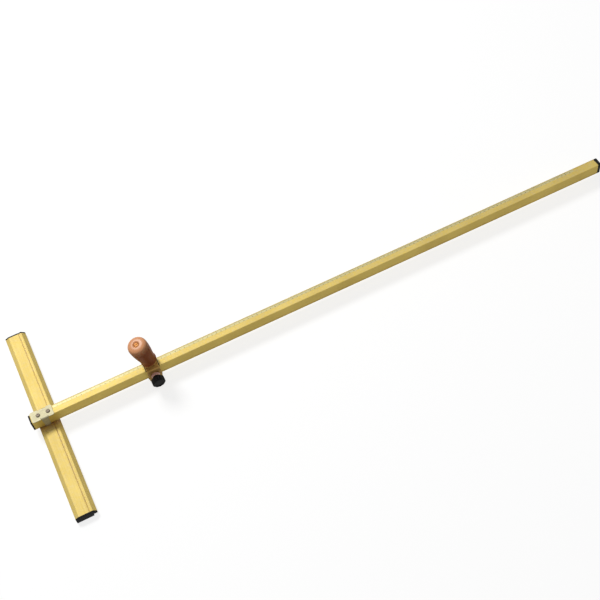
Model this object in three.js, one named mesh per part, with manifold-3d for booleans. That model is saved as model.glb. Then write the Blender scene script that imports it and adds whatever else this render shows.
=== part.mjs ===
// T-shaped glass cutter. A hollow fence follows the edge of the glass, a guide rod lies across it, and
// a carriage on the rod holds the handle with its oil, the cutting head and the lock knob.
// Millimetres. +X runs along the rod away from the fence, +Y along the fence and +Z up.
// The origin is the middle of the fence's glass stop, under the rod's centre line.

import * as THREE from 'three';
import { mergeVertices } from 'three/addons/utils/BufferGeometryUtils.js';
import Module from 'manifold-3d';

const wasm = await Module();
wasm.setup();

// Clearances that every piece shares
const seatGap = 0.3;
const slideGap = 0.3;
const pinGap = 0.08;
const cutOverrun = 1;
const weldTolerance = 0.0001;

// Sides of the round forms and steps of the curves
const fineSides = 40;
const roundSides = 28;
const smallSides = 20;
const filletSides = 3;
const bevelSteps = 2;
const gripCurveSteps = 9;

// Guide rod
const rodLength = 1290;
const rodWidth = 20;
const rodHeight = 27;
const rodWall = 1.8;
const rodCorner = 1.2;
const rodInnerCorner = 0.6;
const rodSideGrooveHeight = 3;
const rodSideGrooveWidth = 1.5;
const rodSideGrooveDepth = 0.8;
const scaleRecessWidth = 6;
const scaleRecessDepth = 0.4;
const scaleRecessMargin = 1.6;
const rodOverhang = 7;

// Plug and cap of the rod
const plugHeadThickness = 3;
const plugHeadBevel = 0.8;
const capHeadThickness = 8;
const capHeadBevel = 2.4;
const plugStubLength = 12;
const plugStubWall = 1.6;

// Fence
const fenceLength = 442;
const fenceHeight = 16;
const fenceTopWidth = 35;
const fenceWall = 2;
const fenceEdge = 0.8;
const stepHeight = 6;
const stepDepth = 8;
const lipReach = 7;
const lipThickness = 3;
const bevelWidth = 7.5;
const bevelDrop = 3;
const ridgeWidth = 5;
const fenceGrooveWidth = 2;
const fenceGrooveDepth = 0.8;
const fenceCapThickness = 3;
const fenceCapBevel = 0.6;
const fenceStubLength = 10;
const fenceStubWall = 1.6;

// Saddle over the rod, its screws and the nut bar inside the fence
const saddleLength = 44;
const saddleThickness = 1.6;
const saddleCorner = 3;
const saddleReach = 3.3;
const earWidth = 14;
const earTaper = 1.5;
const earLift = 0.8;
const earCorner = 2.5;
const screwSpacing = 20.5;
const screwEndInset = 9.3;
const screwRadius = 2;
const screwHeadRadius = 4.2;
const screwHeadHeight = 2.6;
const screwHeadEdge = 0.9;
const screwHeadCrown = 1.8;
const screwHeadCrownDrop = 0.3;
const screwRecessReach = 2.4;
const screwRecessWidth = 0.9;
const screwRecessDepth = 1.4;
const screwTipLength = 2;
const screwTipEdge = 0.6;
const nutBarWidth = 12;
const nutBarThickness = 4;

// Carriage
const carriageX = 211;
const carriageLength = 27;
const carriageCorner = 3;
const carriageEdge = 0.8;
const carriageTopWall = 3.2;
const carriageBottomWall = 3;
const carriageBackWall = 2.6;
const carriageFrontWall = 5.5;
const linerThickness = 1.2;
const linerFlange = 1;
const linerFlangeReach = 1.4;
const pillarRadius = 8.2;
const pillarDrop = 1;
const pillarRise = 2.2;
const seatRadius = 15.5;
const seatThickness = 3;
const seatEdge = 0.8;
const seatLift = 1.4;
const seatRiserRadius = 13.5;
const seatRiserDrop = 7;

// Clamp shoe, lock screw, bush and knob, measured outward from the rod's front face
const shoeLength = 14;
const shoeHeight = 12;
const shoeThickness = 3;
const shoeCorner = 1;
const lockTravel = 1.5;
const travelSpare = 0.5;
const lockScrewRadius = 3;
const lockScrewGrip = 11;
const lockScrewEdge = 0.7;
const bushRadius = 5.2;
const bushFlangeRadius = 9;
const bushFlangeThickness = 2;
const bushCollarRadius = 7.4;
const bushCollarThickness = 3;
const bushEdge = 0.5;
const knobRadius = 13.5;
const knobThickness = 12;
const knobHubRadius = 7.8;
const knobHubFlare = 10.5;
const knobHubLength = 5;
const knobEdge = 1.8;
const knobFlutes = 10;
const knobFluteDepth = 1.4;
const knobPointsPerFlute = 8;
const knobDishRadius = 9.5;
const knobDishDepth = 1;

// Turned grip, oil tube, filler plug and seal, on a seat that leans towards the fence
const gripY = 6.5;
const gripLeanDegrees = 10;
const gripHeight = 68;
const gripRadius = 19.8;
const gripNeckRadius = 16.2;
const gripWaistRadius = 15.2;
const gripBeadHeight = 4;
const gripWaistHeight = 16;
const gripShoulderHeight = 57;
const gripRimRadius = 7.5;
const gripRimDrop = 0.9;
const gripEdge = 0.6;
const tubeRadius = 5;
const tubeWall = 1.1;
const tubeStudLength = 4.5;
const tubeNeckLength = 6;
const tubeNeckRadius = 3.2;
const plugShankRadius = 2.9;
const plugShankLength = 5;
const oilPlugHeadRadius = 4.7;
const oilPlugHeadThickness = 2;
const oilPlugRecess = 0.6;
const oilPlugSlotWidth = 1.1;
const oilPlugSlotDepth = 0.9;
const oilPlugEdge = 0.4;
const sealThickness = 0.9;
const oilSumpDepth = 1;
const oilChannelRadius = 0.8;

// Stem, nut, wick and set screw
const stemRadius = 4.7;
const stemDrop = 11.6;
const stemTopDrop = 1.6;
const stemBoreRise = 0.7;
const oilWayRadius = 1.4;
const stemSocketLength = 9.5;
const stemEdge = 0.5;
const nutSides = 6;
const nutAcrossFlats = 14;
const nutThickness = 5;
const wickRadius = 1.1;
const wickReach = 1.2;
const setScrewRadius = 1.2;
const setScrewLength = 2.2;
const setScrewHeight = 2.4;

// Cutting head, its pin and the wheel
const spigotRadius = 2.6;
const headCollarRadius = 4.5;
const headCollarHeight = 3;
const headEdge = 0.5;
const forkThickness = 4.4;
const forkHalfWidth = 4;
const forkShoulderDrop = 2.2;
const forkNoseRadius = 2.1;
const headOilRadius = 0.7;
const wheelRadius = 2.8;
const wheelThickness = 1.1;
const wheelSideGap = 0.15;
const wheelBevel = 0.23;
const wheelTrail = 0.8;
const axleRadius = 0.7;
const axleInset = 0.1;

// Places that follow from the sizes above
const fenceBottomZ = -stepHeight / 2;
const glassZ = stepHeight / 2;
const fenceTopZ = fenceBottomZ + fenceHeight;
const fenceNoseX = stepDepth;
const fenceTopInnerX = fenceNoseX - lipReach;
const fenceOuterX = fenceTopInnerX - fenceTopWidth;
const rodStartX = fenceOuterX - rodOverhang;
const rodBottomZ = fenceTopZ + seatGap;
const rodAxisZ = rodBottomZ + rodHeight / 2;
const saddleEndX = fenceTopInnerX + saddleReach;
const saddleStartX = saddleEndX - saddleLength;
const screwInnerX = saddleEndX - screwEndInset;
const screwOuterX = screwInnerX - screwSpacing;
const screwHoleRadius = screwRadius + seatGap;
const saddleTopZ = rodBottomZ + rodHeight + seatGap + saddleThickness;

const linerInnerY = rodWidth / 2 + slideGap;
const linerInnerZ = rodHeight / 2 + slideGap;
const linerOuterY = linerInnerY + linerThickness;
const linerOuterZ = linerInnerZ + linerThickness;
const channelY = linerOuterY + seatGap;
const channelZ = linerOuterZ + seatGap;
const carriageFrontY = -channelY - carriageFrontWall;
const carriageBackY = channelY + carriageBackWall;
const carriageTopZ = channelZ + carriageTopWall;
const carriageBottomZ = -channelZ - carriageBottomWall;
const pillarY = carriageBackY + pillarRadius - seatGap;

const gripLean = THREE.MathUtils.degToRad(gripLeanDegrees);
const seatTopZ = carriageTopZ + seatRadius * Math.sin(gripLean) + seatLift;
const gripBaseZ = seatGap;
const gripTopZ = gripBaseZ + gripHeight;
const gripBoreRadius = tubeRadius + seatGap;
const studBoreDepth = tubeStudLength + oilSumpDepth;
const oilChannelZ = seatTopZ - studBoreDepth / Math.cos(gripLean) + oilChannelRadius;
const plugHeadTopZ = gripTopZ - oilPlugRecess;
const plugHeadBaseZ = plugHeadTopZ - oilPlugHeadThickness;
const sealTopZ = plugHeadBaseZ - seatGap;
const sealBaseZ = sealTopZ - sealThickness;
const tubeTopZ = sealBaseZ - seatGap;
const stemBoreRadius = stemRadius + seatGap;
const stemBottomZ = -stemDrop;
const stemBoreTopZ = carriageTopZ + stemBoreRise;
const stemTopZ = stemBoreTopZ - stemTopDrop;
const spigotTopZ = stemBottomZ + stemSocketLength - seatGap;
const headTopZ = stemBottomZ - seatGap;
const wheelAxisZ = glassZ - rodAxisZ + wheelRadius;

// Materials with the colours of the real finishes
function finish(color, roughness, metalness) {
  return new THREE.MeshStandardMaterial({ color, roughness, metalness });
}
const gold = finish(0xdcc47c, 0.38, 0.85);
const paleGold = finish(0xb99a55, 0.42, 0.85);
const nickel = finish(0xcfd0cc, 0.22, 1);
const steel = finish(0x8f8c8c, 0.35, 1);
const brass = finish(0xb98a45, 0.35, 1);
const hardMetal = finish(0x5d6064, 0.25, 1);
const blackPlastic = finish(0x141414, 0.5, 0);
const lacqueredWood = finish(0xc46f3c, 0.3, 0);
const nylon = finish(0x3a352f, 0.5, 0);
const rubber = finish(0x1c1b1a, 0.8, 0);
const felt = finish(0xd9d2bd, 0.95, 0);

// From a three.js geometry to a closed solid and back
function solidOf(geometry) {
  const bare = geometry.clone();
  bare.deleteAttribute('normal');
  bare.deleteAttribute('uv');
  const welded = mergeVertices(bare, weldTolerance);
  const corners = welded.index.array;
  const kept = [];
  for (let i = 0; i < corners.length; i += 3) {
    const [a, b, c] = [corners[i], corners[i + 1], corners[i + 2]];
    if (a !== b && b !== c && c !== a) kept.push(a, b, c);
  }
  return new wasm.Manifold(new wasm.Mesh({
    numProp: 3,
    vertProperties: new Float32Array(welded.attributes.position.array),
    triVerts: new Uint32Array(kept),
  }));
}

function geometryOf(solid) {
  const mesh = solid.getMesh();
  const geometry = new THREE.BufferGeometry();
  geometry.setAttribute('position', new THREE.BufferAttribute(new Float32Array(mesh.vertProperties), 3));
  geometry.setIndex(new THREE.BufferAttribute(new Uint32Array(mesh.triVerts), 1));
  const faceted = geometry.toNonIndexed();
  faceted.computeVertexNormals();
  return faceted;
}

function placed(solid, matrix) {
  return solidOf(geometryOf(solid).applyMatrix4(matrix));
}

function joined(...solids) {
  return solids.reduce((whole, solid) => whole.add(solid));
}

function cut(body, ...tools) {
  return tools.reduce((rest, tool) => rest.subtract(tool), body);
}

// A closed outline through corners, each [x, y, fillet radius], with the fillets as short arcs
function outline(corners) {
  const points = [];
  corners.forEach(([x, y, radius], i) => {
    const here = new THREE.Vector2(x, y);
    if (!radius) {
      points.push(here);
      return;
    }
    const [beforeX, beforeY] = corners.at(i - 1);
    const [afterX, afterY] = corners[(i + 1) % corners.length];
    const before = new THREE.Vector2(beforeX, beforeY).sub(here).normalize();
    const after = new THREE.Vector2(afterX, afterY).sub(here).normalize();
    const halfAngle = Math.acos(before.dot(after)) / 2;
    const middle = before.clone().add(after).normalize();
    const centre = here.clone().addScaledVector(middle, radius / Math.sin(halfAngle));
    const start = here.clone().addScaledVector(before, radius / Math.tan(halfAngle)).sub(centre);
    const end = here.clone().addScaledVector(after, radius / Math.tan(halfAngle)).sub(centre);
    const sweep = Math.atan2(start.cross(end), start.dot(end));
    for (let step = 0; step <= filletSides; step += 1) {
      const turned = start.clone().rotateAround(new THREE.Vector2(), sweep * step / filletSides);
      points.push(turned.add(centre));
    }
  });
  return new THREE.Shape(points);
}

function rectangle(minX, maxX, minY, maxY, corner = 0) {
  return outline([
    [minX, minY, corner],
    [maxX, minY, corner],
    [maxX, maxY, corner],
    [minX, maxY, corner],
  ]);
}

function polar(sides, radiusAt, centreX = 0, centreY = 0) {
  const points = [];
  for (let i = 0; i < sides; i += 1) {
    const angle = 2 * Math.PI * i / sides;
    const radius = radiusAt(angle);
    points.push(new THREE.Vector2(centreX + radius * Math.cos(angle), centreY + radius * Math.sin(angle)));
  }
  return new THREE.Shape(points);
}

function circle(radius, centreX = 0, centreY = 0, sides = smallSides) {
  return polar(sides, () => radius, centreX, centreY);
}

// Directions of a prism: its shape lies in the YZ, XZ or XY plane and it runs along the third axis
const [axisX, axisY, axisZ] = [
  new THREE.Vector3(1, 0, 0),
  new THREE.Vector3(0, 1, 0),
  new THREE.Vector3(0, 0, 1),
];
const alongX = new THREE.Matrix4().makeBasis(axisY, axisZ, axisX);
const alongMinusY = new THREE.Matrix4().makeBasis(axisX, axisZ, axisY.clone().negate());
const alongZ = new THREE.Matrix4();

function prism(direction, shape, from, to, bevel = 0, hole = null) {
  const section = shape.clone();
  if (hole) section.holes.push(hole);
  const geometry = new THREE.ExtrudeGeometry(section, {
    depth: to - from - 2 * bevel,
    bevelEnabled: bevel > 0,
    bevelThickness: bevel,
    bevelSize: bevel,
    bevelOffset: -bevel,
    bevelSegments: bevelSteps,
  });
  const start = direction === alongMinusY ? -to : from;
  geometry.translate(0, 0, start + bevel);
  return solidOf(geometry.applyMatrix4(direction));
}

function block(minX, maxX, minY, maxY, minZ, maxZ) {
  const geometry = new THREE.BoxGeometry(maxX - minX, maxY - minY, maxZ - minZ);
  geometry.translate((minX + maxX) / 2, (minY + maxY) / 2, (minZ + maxZ) / 2);
  return solidOf(geometry);
}

// A turned solid round Z from [radius, height] pairs, up the outside and down the bore if it has one
function turned(profile, sides = roundSides) {
  const hollow = profile[0][0] > 0;
  const closed = hollow ? [...profile, profile[0]] : profile;
  const geometry = new THREE.LatheGeometry(closed.map(([r, z]) => new THREE.Vector2(r, z)), sides);
  geometry.rotateX(Math.PI / 2);
  return solidOf(geometry);
}

function tube(outer, inner, from, to, sides = roundSides, edge = 0) {
  return turned([
    [inner, from],
    [outer - edge, from],
    [outer, from + edge],
    [outer, to - edge],
    [outer - edge, to],
    [inner, to],
  ], sides);
}

function pin(radius, from, to, edge = 0, sides = smallSides) {
  return turned([
    [0, from],
    [radius - edge, from],
    [radius, from + edge],
    [radius, to - edge],
    [radius - edge, to],
    [0, to],
  ], sides);
}

function piece(group, name, solid, material) {
  const mesh = new THREE.Mesh(geometryOf(solid), material);
  mesh.name = name;
  group.add(mesh);
  return mesh;
}

// Fence: outer outline and cavity, in the XZ plane
function fenceOutline() {
  const grooveInnerX = fenceTopInnerX - ridgeWidth;
  const grooveOuterX = grooveInnerX - fenceGrooveWidth;
  const grooveFloorZ = fenceTopZ - fenceGrooveDepth;
  return outline([
    [fenceOuterX, fenceBottomZ, fenceEdge],
    [0, fenceBottomZ, fenceEdge],
    [0, glassZ],
    [fenceNoseX, glassZ, fenceEdge],
    [fenceNoseX, glassZ + lipThickness, fenceEdge],
    [fenceTopInnerX, fenceTopZ, fenceEdge],
    [grooveInnerX, fenceTopZ],
    [grooveInnerX, grooveFloorZ],
    [grooveOuterX, grooveFloorZ],
    [grooveOuterX, fenceTopZ],
    [fenceOuterX + bevelWidth, fenceTopZ, fenceEdge],
    [fenceOuterX, fenceTopZ - bevelDrop, fenceEdge],
  ]);
}

function fenceCavity(clearance) {
  const inset = fenceWall + clearance;
  const slopeHeight = fenceTopZ - glassZ - lipThickness;
  const slopeInset = inset * Math.hypot(slopeHeight, lipReach) / slopeHeight;
  const slopeX = (z) => fenceNoseX - slopeInset - lipReach * (z - glassZ - lipThickness) / slopeHeight;
  const bevelLift = inset * Math.hypot(bevelWidth, bevelDrop) / bevelWidth;
  const lipFloorZ = glassZ + lipThickness + clearance;
  const roofZ = fenceTopZ - inset;
  return outline([
    [fenceOuterX + inset, fenceBottomZ + inset],
    [-inset, fenceBottomZ + inset],
    [-inset, lipFloorZ],
    [slopeX(lipFloorZ), lipFloorZ],
    [slopeX(roofZ), roofZ],
    [fenceOuterX + bevelWidth * (bevelDrop - inset + bevelLift) / bevelDrop, roofZ],
    [fenceOuterX + inset, fenceTopZ - bevelDrop + bevelDrop * inset / bevelWidth - bevelLift],
  ]);
}

function screwHoles(fromZ, toZ) {
  return [screwOuterX, screwInnerX].map((x) => prism(alongZ, circle(screwHoleRadius, x), fromZ, toZ));
}

// Closes a fence end: a plate of the fence's outline outside and a hollow stub inside
function fenceCap(side) {
  const faceY = fenceLength / 2 + seatGap;
  const stubEndY = fenceLength / 2 - fenceStubLength;
  const between = (shape, near, far, bevel) => {
    const [from, to] = side > 0 ? [near, far] : [-far, -near];
    return prism(alongMinusY, shape, from, to, bevel);
  };
  const plate = between(fenceOutline(), faceY, faceY + fenceCapThickness, fenceCapBevel);
  const stub = between(fenceCavity(seatGap), stubEndY, faceY + fenceCapBevel);
  const hollow = between(fenceCavity(seatGap + fenceStubWall), stubEndY - cutOverrun, faceY);
  return cut(joined(plate, stub), hollow);
}

function addFence(parent) {
  const half = fenceLength / 2;
  const bar = prism(alongMinusY, fenceOutline(), -half, half, 0, fenceCavity(0));
  const drills = screwHoles(fenceTopZ - fenceWall - bevelDrop - cutOverrun, fenceTopZ + cutOverrun);
  piece(parent, 'fence', cut(bar, ...drills), gold);

  piece(parent, 'fence_cap_left', fenceCap(1), blackPlastic);
  piece(parent, 'fence_cap_right', fenceCap(-1), blackPlastic);

  const barTopZ = fenceTopZ - fenceWall - seatGap;
  const barBottomZ = barTopZ - nutBarThickness;
  const filled = prism(alongMinusY, fenceCavity(seatGap), -nutBarWidth / 2, nutBarWidth / 2);
  const level = block(fenceOuterX, fenceNoseX, -nutBarWidth, nutBarWidth, barBottomZ, fenceTopZ);
  const tapped = screwHoles(barBottomZ - cutOverrun, fenceTopZ);
  piece(parent, 'nut_bar', cut(filled.intersect(level), ...tapped), steel);
}

// Guide rod: its section lies in the YZ plane with the rod's underside at zero
function rodOutline() {
  const side = rodWidth / 2;
  const grooveBottom = rodSideGrooveHeight;
  const grooveTop = rodSideGrooveHeight + rodSideGrooveWidth;
  const grooveFloor = side - rodSideGrooveDepth;
  const recessOuter = side - scaleRecessMargin;
  const recessInner = recessOuter - scaleRecessWidth;
  const recessFloor = rodHeight - scaleRecessDepth;
  return outline([
    [-side, 0, rodCorner],
    [side, 0, rodCorner],
    [side, grooveBottom],
    [grooveFloor, grooveBottom],
    [grooveFloor, grooveTop],
    [side, grooveTop],
    [side, rodHeight, rodCorner],
    [recessOuter, rodHeight],
    [recessOuter, recessFloor],
    [recessInner, recessFloor],
    [recessInner, rodHeight],
    [-side, rodHeight, rodCorner],
    [-side, grooveTop],
    [-grooveFloor, grooveTop],
    [-grooveFloor, grooveBottom],
    [-side, grooveBottom],
  ]);
}

function rodBore(clearance) {
  const inset = rodWall + clearance;
  const side = rodWidth / 2 - inset;
  return rectangle(-side, side, inset, rodHeight - inset, rodInnerCorner);
}

// Closes a rod end: a head outside and a hollow stub inside, built along +X from the rod's end
function rodStopper(headThickness, headBevel) {
  const side = rodWidth / 2;
  const square = rectangle(-side, side, 0, rodHeight);
  const rounded = rectangle(-side, side, 0, rodHeight, rodCorner);
  const tapered = prism(alongX, square, -headThickness, headThickness, headBevel);
  const domed = tapered.intersect(prism(alongX, rounded, -headThickness, headThickness));
  const outside = block(0, headThickness + cutOverrun, -rodWidth, rodWidth, -rodHeight, 2 * rodHeight);
  const stub = prism(alongX, rodBore(seatGap), -plugStubLength, headBevel);
  const hollow = prism(alongX, rodBore(seatGap + plugStubWall), -plugStubLength - cutOverrun, 0);
  return cut(joined(domed.intersect(outside), stub), hollow);
}

function addRod(parent) {
  const group = new THREE.Group();
  group.position.set(rodStartX, 0, rodBottomZ);
  parent.add(group);

  const bar = prism(alongX, rodOutline(), 0, rodLength, 0, rodBore(0));
  const drills = [screwOuterX, screwInnerX].map((x) => {
    const hole = circle(screwHoleRadius, x - rodStartX);
    return prism(alongZ, hole, -cutOverrun, rodHeight + cutOverrun);
  });
  piece(group, 'guide_rod', cut(bar, ...drills), gold);

  const cap = piece(group, 'rod_far_cap', rodStopper(capHeadThickness, capHeadBevel), blackPlastic);
  cap.position.x = rodLength + seatGap;
  const plug = piece(group, 'rod_near_plug', rodStopper(plugHeadThickness, plugHeadBevel), blackPlastic);
  plug.position.x = -seatGap;
  plug.rotation.z = Math.PI;
}

// Saddle: a plate over the rod with an ear down each side, and its two screws
function addSaddle(parent) {
  const plateBottomZ = saddleTopZ - saddleThickness;
  const innerY = rodWidth / 2 + seatGap;
  const outerY = innerY + saddleThickness;
  const plateShape = rectangle(saddleStartX, saddleEndX, -outerY, outerY, saddleCorner);
  const plate = prism(alongZ, plateShape, plateBottomZ, saddleTopZ);
  const earTop = earWidth / 2;
  const earFoot = earTop - earTaper;
  const earFootZ = fenceTopZ + earLift;
  const earCentreX = (screwOuterX + screwInnerX) / 2;
  const earShape = outline([
    [earCentreX - earFoot, earFootZ, earCorner],
    [earCentreX + earFoot, earFootZ, earCorner],
    [earCentreX + earTop, saddleTopZ],
    [earCentreX - earTop, saddleTopZ],
  ]);
  const ears = prism(alongMinusY, earShape, -outerY, outerY);
  const rodSpace = block(
    saddleStartX - cutOverrun,
    saddleEndX + cutOverrun,
    -innerY,
    innerY,
    fenceBottomZ,
    plateBottomZ,
  );
  const holes = screwHoles(plateBottomZ - cutOverrun, saddleTopZ + cutOverrun);
  piece(parent, 'rod_saddle', cut(joined(plate, ears), rodSpace, ...holes), nickel);

  const headBaseZ = saddleTopZ + seatGap;
  const headTop = headBaseZ + screwHeadHeight;
  const tipZ = fenceTopZ - fenceWall - seatGap - nutBarThickness - screwTipLength;
  for (const [name, x] of [['saddle_screw_outer', screwOuterX], ['saddle_screw_inner', screwInnerX]]) {
    const body = turned([
      [0, tipZ],
      [screwRadius - screwTipEdge, tipZ],
      [screwRadius, tipZ + screwTipEdge],
      [screwRadius, headBaseZ],
      [screwHeadRadius, headBaseZ],
      [screwHeadRadius, headTop - screwHeadEdge],
      [screwHeadRadius - screwHeadEdge / 2, headTop - screwHeadCrownDrop],
      [screwHeadRadius - screwHeadCrown, headTop],
      [0, headTop],
    ], smallSides);
    const reach = screwRecessReach;
    const side = screwRecessWidth / 2;
    const recessFloor = headTop - screwRecessDepth;
    const crossX = block(-reach, reach, -side, side, recessFloor, headTop + cutOverrun);
    const crossY = block(-side, side, -reach, reach, recessFloor, headTop + cutOverrun);
    piece(parent, name, cut(body, crossX, crossY), nickel).position.x = x;
  }
}

// Carriage: a sleeve round the rod, centred on its axis, a pillar behind it for the stem and the
// leaning seat above, with a channel that takes the oil from the seat's sump to the stem
function carriageBody() {
  const half = carriageLength / 2;
  const sleeve = prism(
    alongX,
    rectangle(carriageFrontY, carriageBackY, carriageBottomZ, carriageTopZ, carriageCorner),
    -half,
    half,
    carriageEdge,
  );
  const pillarShape = outline([
    [-pillarRadius, channelY + seatGap],
    [pillarRadius, channelY + seatGap],
    [pillarRadius, pillarY],
    [-pillarRadius, pillarY],
  ]);
  const pillarTopZ = carriageTopZ + pillarRise;
  const neck = prism(alongZ, pillarShape, -pillarDrop, carriageTopZ - seatEdge);
  const pillar = prism(alongZ, circle(pillarRadius, 0, pillarY, roundSides), -pillarDrop, pillarTopZ);
  const seat = tube(seatRadius, 0, -seatThickness, 0, fineSides, seatEdge);
  const riserShape = circle(seatRiserRadius, 0, 0, fineSides);
  const riser = prism(alongZ, riserShape, -seatRiserDrop, -seatThickness / 2);
  const lean = new THREE.Matrix4().makeRotationY(-gripLean).setPosition(0, gripY, seatTopZ);
  const leaningSeat = placed(joined(seat, riser), lean);
  const studBore = prism(alongZ, circle(gripBoreRadius), -studBoreDepth, cutOverrun);
  const oilChannel = prism(alongMinusY, circle(oilChannelRadius, 0, oilChannelZ), gripY, pillarY);
  const channel = block(-half - cutOverrun, half + cutOverrun, -channelY, channelY, -channelZ, channelZ);
  const pocketFloorY = -(rodWidth / 2 + slideGap + shoeThickness + lockTravel + travelSpare);
  const pocket = prism(
    alongMinusY,
    rectangle(
      -shoeLength / 2 - seatGap,
      shoeLength / 2 + seatGap,
      -shoeHeight / 2 - seatGap,
      shoeHeight / 2 + seatGap,
      shoeCorner,
    ),
    pocketFloorY,
    -channelY + cutOverrun,
  );
  const bushBore = prism(
    alongMinusY,
    circle(bushRadius + seatGap),
    carriageFrontY - cutOverrun,
    pocketFloorY + cutOverrun,
  );
  const stemBore = prism(
    alongZ,
    circle(stemBoreRadius, 0, pillarY, roundSides),
    -pillarDrop - cutOverrun,
    stemBoreTopZ,
  );
  const bores = [bushBore, stemBore, placed(studBore, lean), oilChannel];
  return cut(joined(sleeve, neck, pillar, leaningSeat), channel, pocket, ...bores);
}

function glideLiner() {
  const half = carriageLength / 2 + seatGap;
  const section = (reach) => outline([
    [-linerOuterY, -linerOuterZ - reach],
    [linerOuterY + reach, -linerOuterZ - reach],
    [linerOuterY + reach, linerOuterZ + reach],
    [-linerOuterY, linerOuterZ + reach],
    [-linerOuterY, linerInnerZ],
    [linerInnerY, linerInnerZ],
    [linerInnerY, -linerInnerZ],
    [-linerOuterY, -linerInnerZ],
  ]);
  return joined(
    prism(alongX, section(0), -half, half),
    prism(alongX, section(linerFlangeReach), -half - linerFlange, -half),
    prism(alongX, section(linerFlangeReach), half, half + linerFlange),
  );
}

// Lock: shoe, screw, bush and knob in a frame whose +Z points out of the carriage's front
function addLock(carriage) {
  const group = new THREE.Group();
  group.rotation.x = Math.PI / 2;
  carriage.add(group);

  const shoeInner = rodWidth / 2 + slideGap;
  const shoeOuter = shoeInner + shoeThickness;
  const shoe = prism(
    alongZ,
    rectangle(-shoeLength / 2, shoeLength / 2, -shoeHeight / 2, shoeHeight / 2, shoeCorner),
    shoeInner,
    shoeOuter,
  );
  piece(group, 'clamp_shoe', shoe, brass);

  const bushInner = shoeOuter + lockTravel + travelSpare + seatGap;
  const bushSeat = -carriageFrontY + seatGap;
  const flangeEnd = bushSeat + bushFlangeThickness;
  const collarEnd = flangeEnd + bushCollarThickness;
  const bushBoreRadius = lockScrewRadius + seatGap;
  const bush = turned([
    [bushBoreRadius, bushInner],
    [bushRadius, bushInner],
    [bushRadius, bushSeat],
    [bushFlangeRadius, bushSeat],
    [bushFlangeRadius, flangeEnd - bushEdge],
    [bushFlangeRadius - bushEdge, flangeEnd],
    [bushCollarRadius, flangeEnd],
    [bushCollarRadius, collarEnd - bushEdge],
    [bushCollarRadius - bushEdge, collarEnd],
    [bushBoreRadius, collarEnd],
  ]);
  piece(group, 'lock_bush', bush, steel);

  const hubStart = collarEnd + seatGap;
  const faceStart = hubStart + knobHubLength;
  const faceEnd = faceStart + knobThickness;
  const fluted = polar(knobFlutes * knobPointsPerFlute, (angle) => {
    const valley = (1 + Math.cos(knobFlutes * angle)) / 2;
    return knobRadius - knobFluteDepth * valley ** 3;
  });
  const body = prism(alongZ, fluted, faceStart, faceEnd, knobEdge);
  const hub = turned([
    [0, hubStart],
    [knobHubRadius, hubStart],
    [knobHubFlare, faceStart],
    [knobHubFlare, faceStart + knobEdge],
    [0, faceStart + knobEdge],
  ]);
  const dish = tube(knobDishRadius, 0, faceEnd - knobDishDepth, faceEnd + cutOverrun);
  const screwEnd = hubStart + lockScrewGrip;
  const boreShape = circle(lockScrewRadius + seatGap);
  const screwBore = prism(alongZ, boreShape, hubStart - cutOverrun, screwEnd + seatGap);
  piece(group, 'lock_knob', cut(joined(body, hub), dish, screwBore), blackPlastic);
  piece(group, 'lock_screw', pin(lockScrewRadius, shoeOuter + seatGap, screwEnd, lockScrewEdge), steel);
}

// Grip: the turned outline from the neck up over the crown to the rim, then down the bore
function gripProfile() {
  const path = new THREE.Path();
  const shoulderZ = gripBaseZ + gripShoulderHeight;
  const rimZ = gripTopZ - gripRimDrop;
  path.moveTo(gripBoreRadius, gripBaseZ);
  path.lineTo(gripNeckRadius - gripEdge, gripBaseZ);
  path.lineTo(gripNeckRadius, gripBaseZ + gripEdge);
  path.lineTo(gripNeckRadius, gripBaseZ + gripBeadHeight - gripEdge);
  path.lineTo(gripNeckRadius - gripEdge, gripBaseZ + gripBeadHeight);
  path.bezierCurveTo(
    gripWaistRadius,
    gripBaseZ + gripWaistHeight,
    gripRadius,
    gripBaseZ + gripWaistHeight * 2,
    gripRadius,
    shoulderZ,
  );
  path.bezierCurveTo(
    gripRadius,
    (shoulderZ + gripTopZ) / 2 + gripBeadHeight,
    (gripRadius + gripRimRadius) / 2 + gripBeadHeight / 2,
    gripTopZ,
    gripRimRadius,
    gripTopZ,
  );
  path.lineTo(gripBoreRadius, rimZ);
  return path.getPoints(gripCurveSteps).map((point) => [point.x, point.y]);
}

function addHandle(carriage) {
  const leaning = new THREE.Group();
  leaning.position.set(0, gripY, seatTopZ);
  leaning.rotation.y = -gripLean;
  carriage.add(leaning);

  piece(leaning, 'handle_grip', turned(gripProfile(), fineSides), lacqueredWood);

  const tubeInner = tubeRadius - tubeWall;
  const oilTube = turned([
    [tubeInner, -tubeStudLength],
    [tubeRadius, -tubeStudLength],
    [tubeRadius, tubeTopZ],
    [tubeNeckRadius, tubeTopZ],
    [tubeNeckRadius, tubeTopZ - tubeNeckLength],
    [tubeInner, tubeTopZ - tubeNeckLength - tubeWall],
  ]);
  piece(leaning, 'oil_tube', oilTube, brass);

  const shankBottom = plugHeadBaseZ - plugShankLength;
  const plug = turned([
    [0, shankBottom],
    [plugShankRadius - oilPlugEdge, shankBottom],
    [plugShankRadius, shankBottom + oilPlugEdge],
    [plugShankRadius, plugHeadBaseZ],
    [oilPlugHeadRadius, plugHeadBaseZ],
    [oilPlugHeadRadius, plugHeadTopZ - oilPlugEdge],
    [oilPlugHeadRadius - oilPlugEdge, plugHeadTopZ],
    [0, plugHeadTopZ],
  ]);
  const slotSide = oilPlugSlotWidth / 2;
  const slot = block(
    -oilPlugHeadRadius - cutOverrun,
    oilPlugHeadRadius + cutOverrun,
    -slotSide,
    slotSide,
    plugHeadTopZ - oilPlugSlotDepth,
    plugHeadTopZ + cutOverrun,
  );
  piece(leaning, 'oil_plug', cut(plug, slot), brass);
  const seal = tube(oilPlugHeadRadius, tubeNeckRadius, sealBaseZ, sealTopZ);
  piece(leaning, 'oil_plug_seal', seal, rubber);
}

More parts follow.
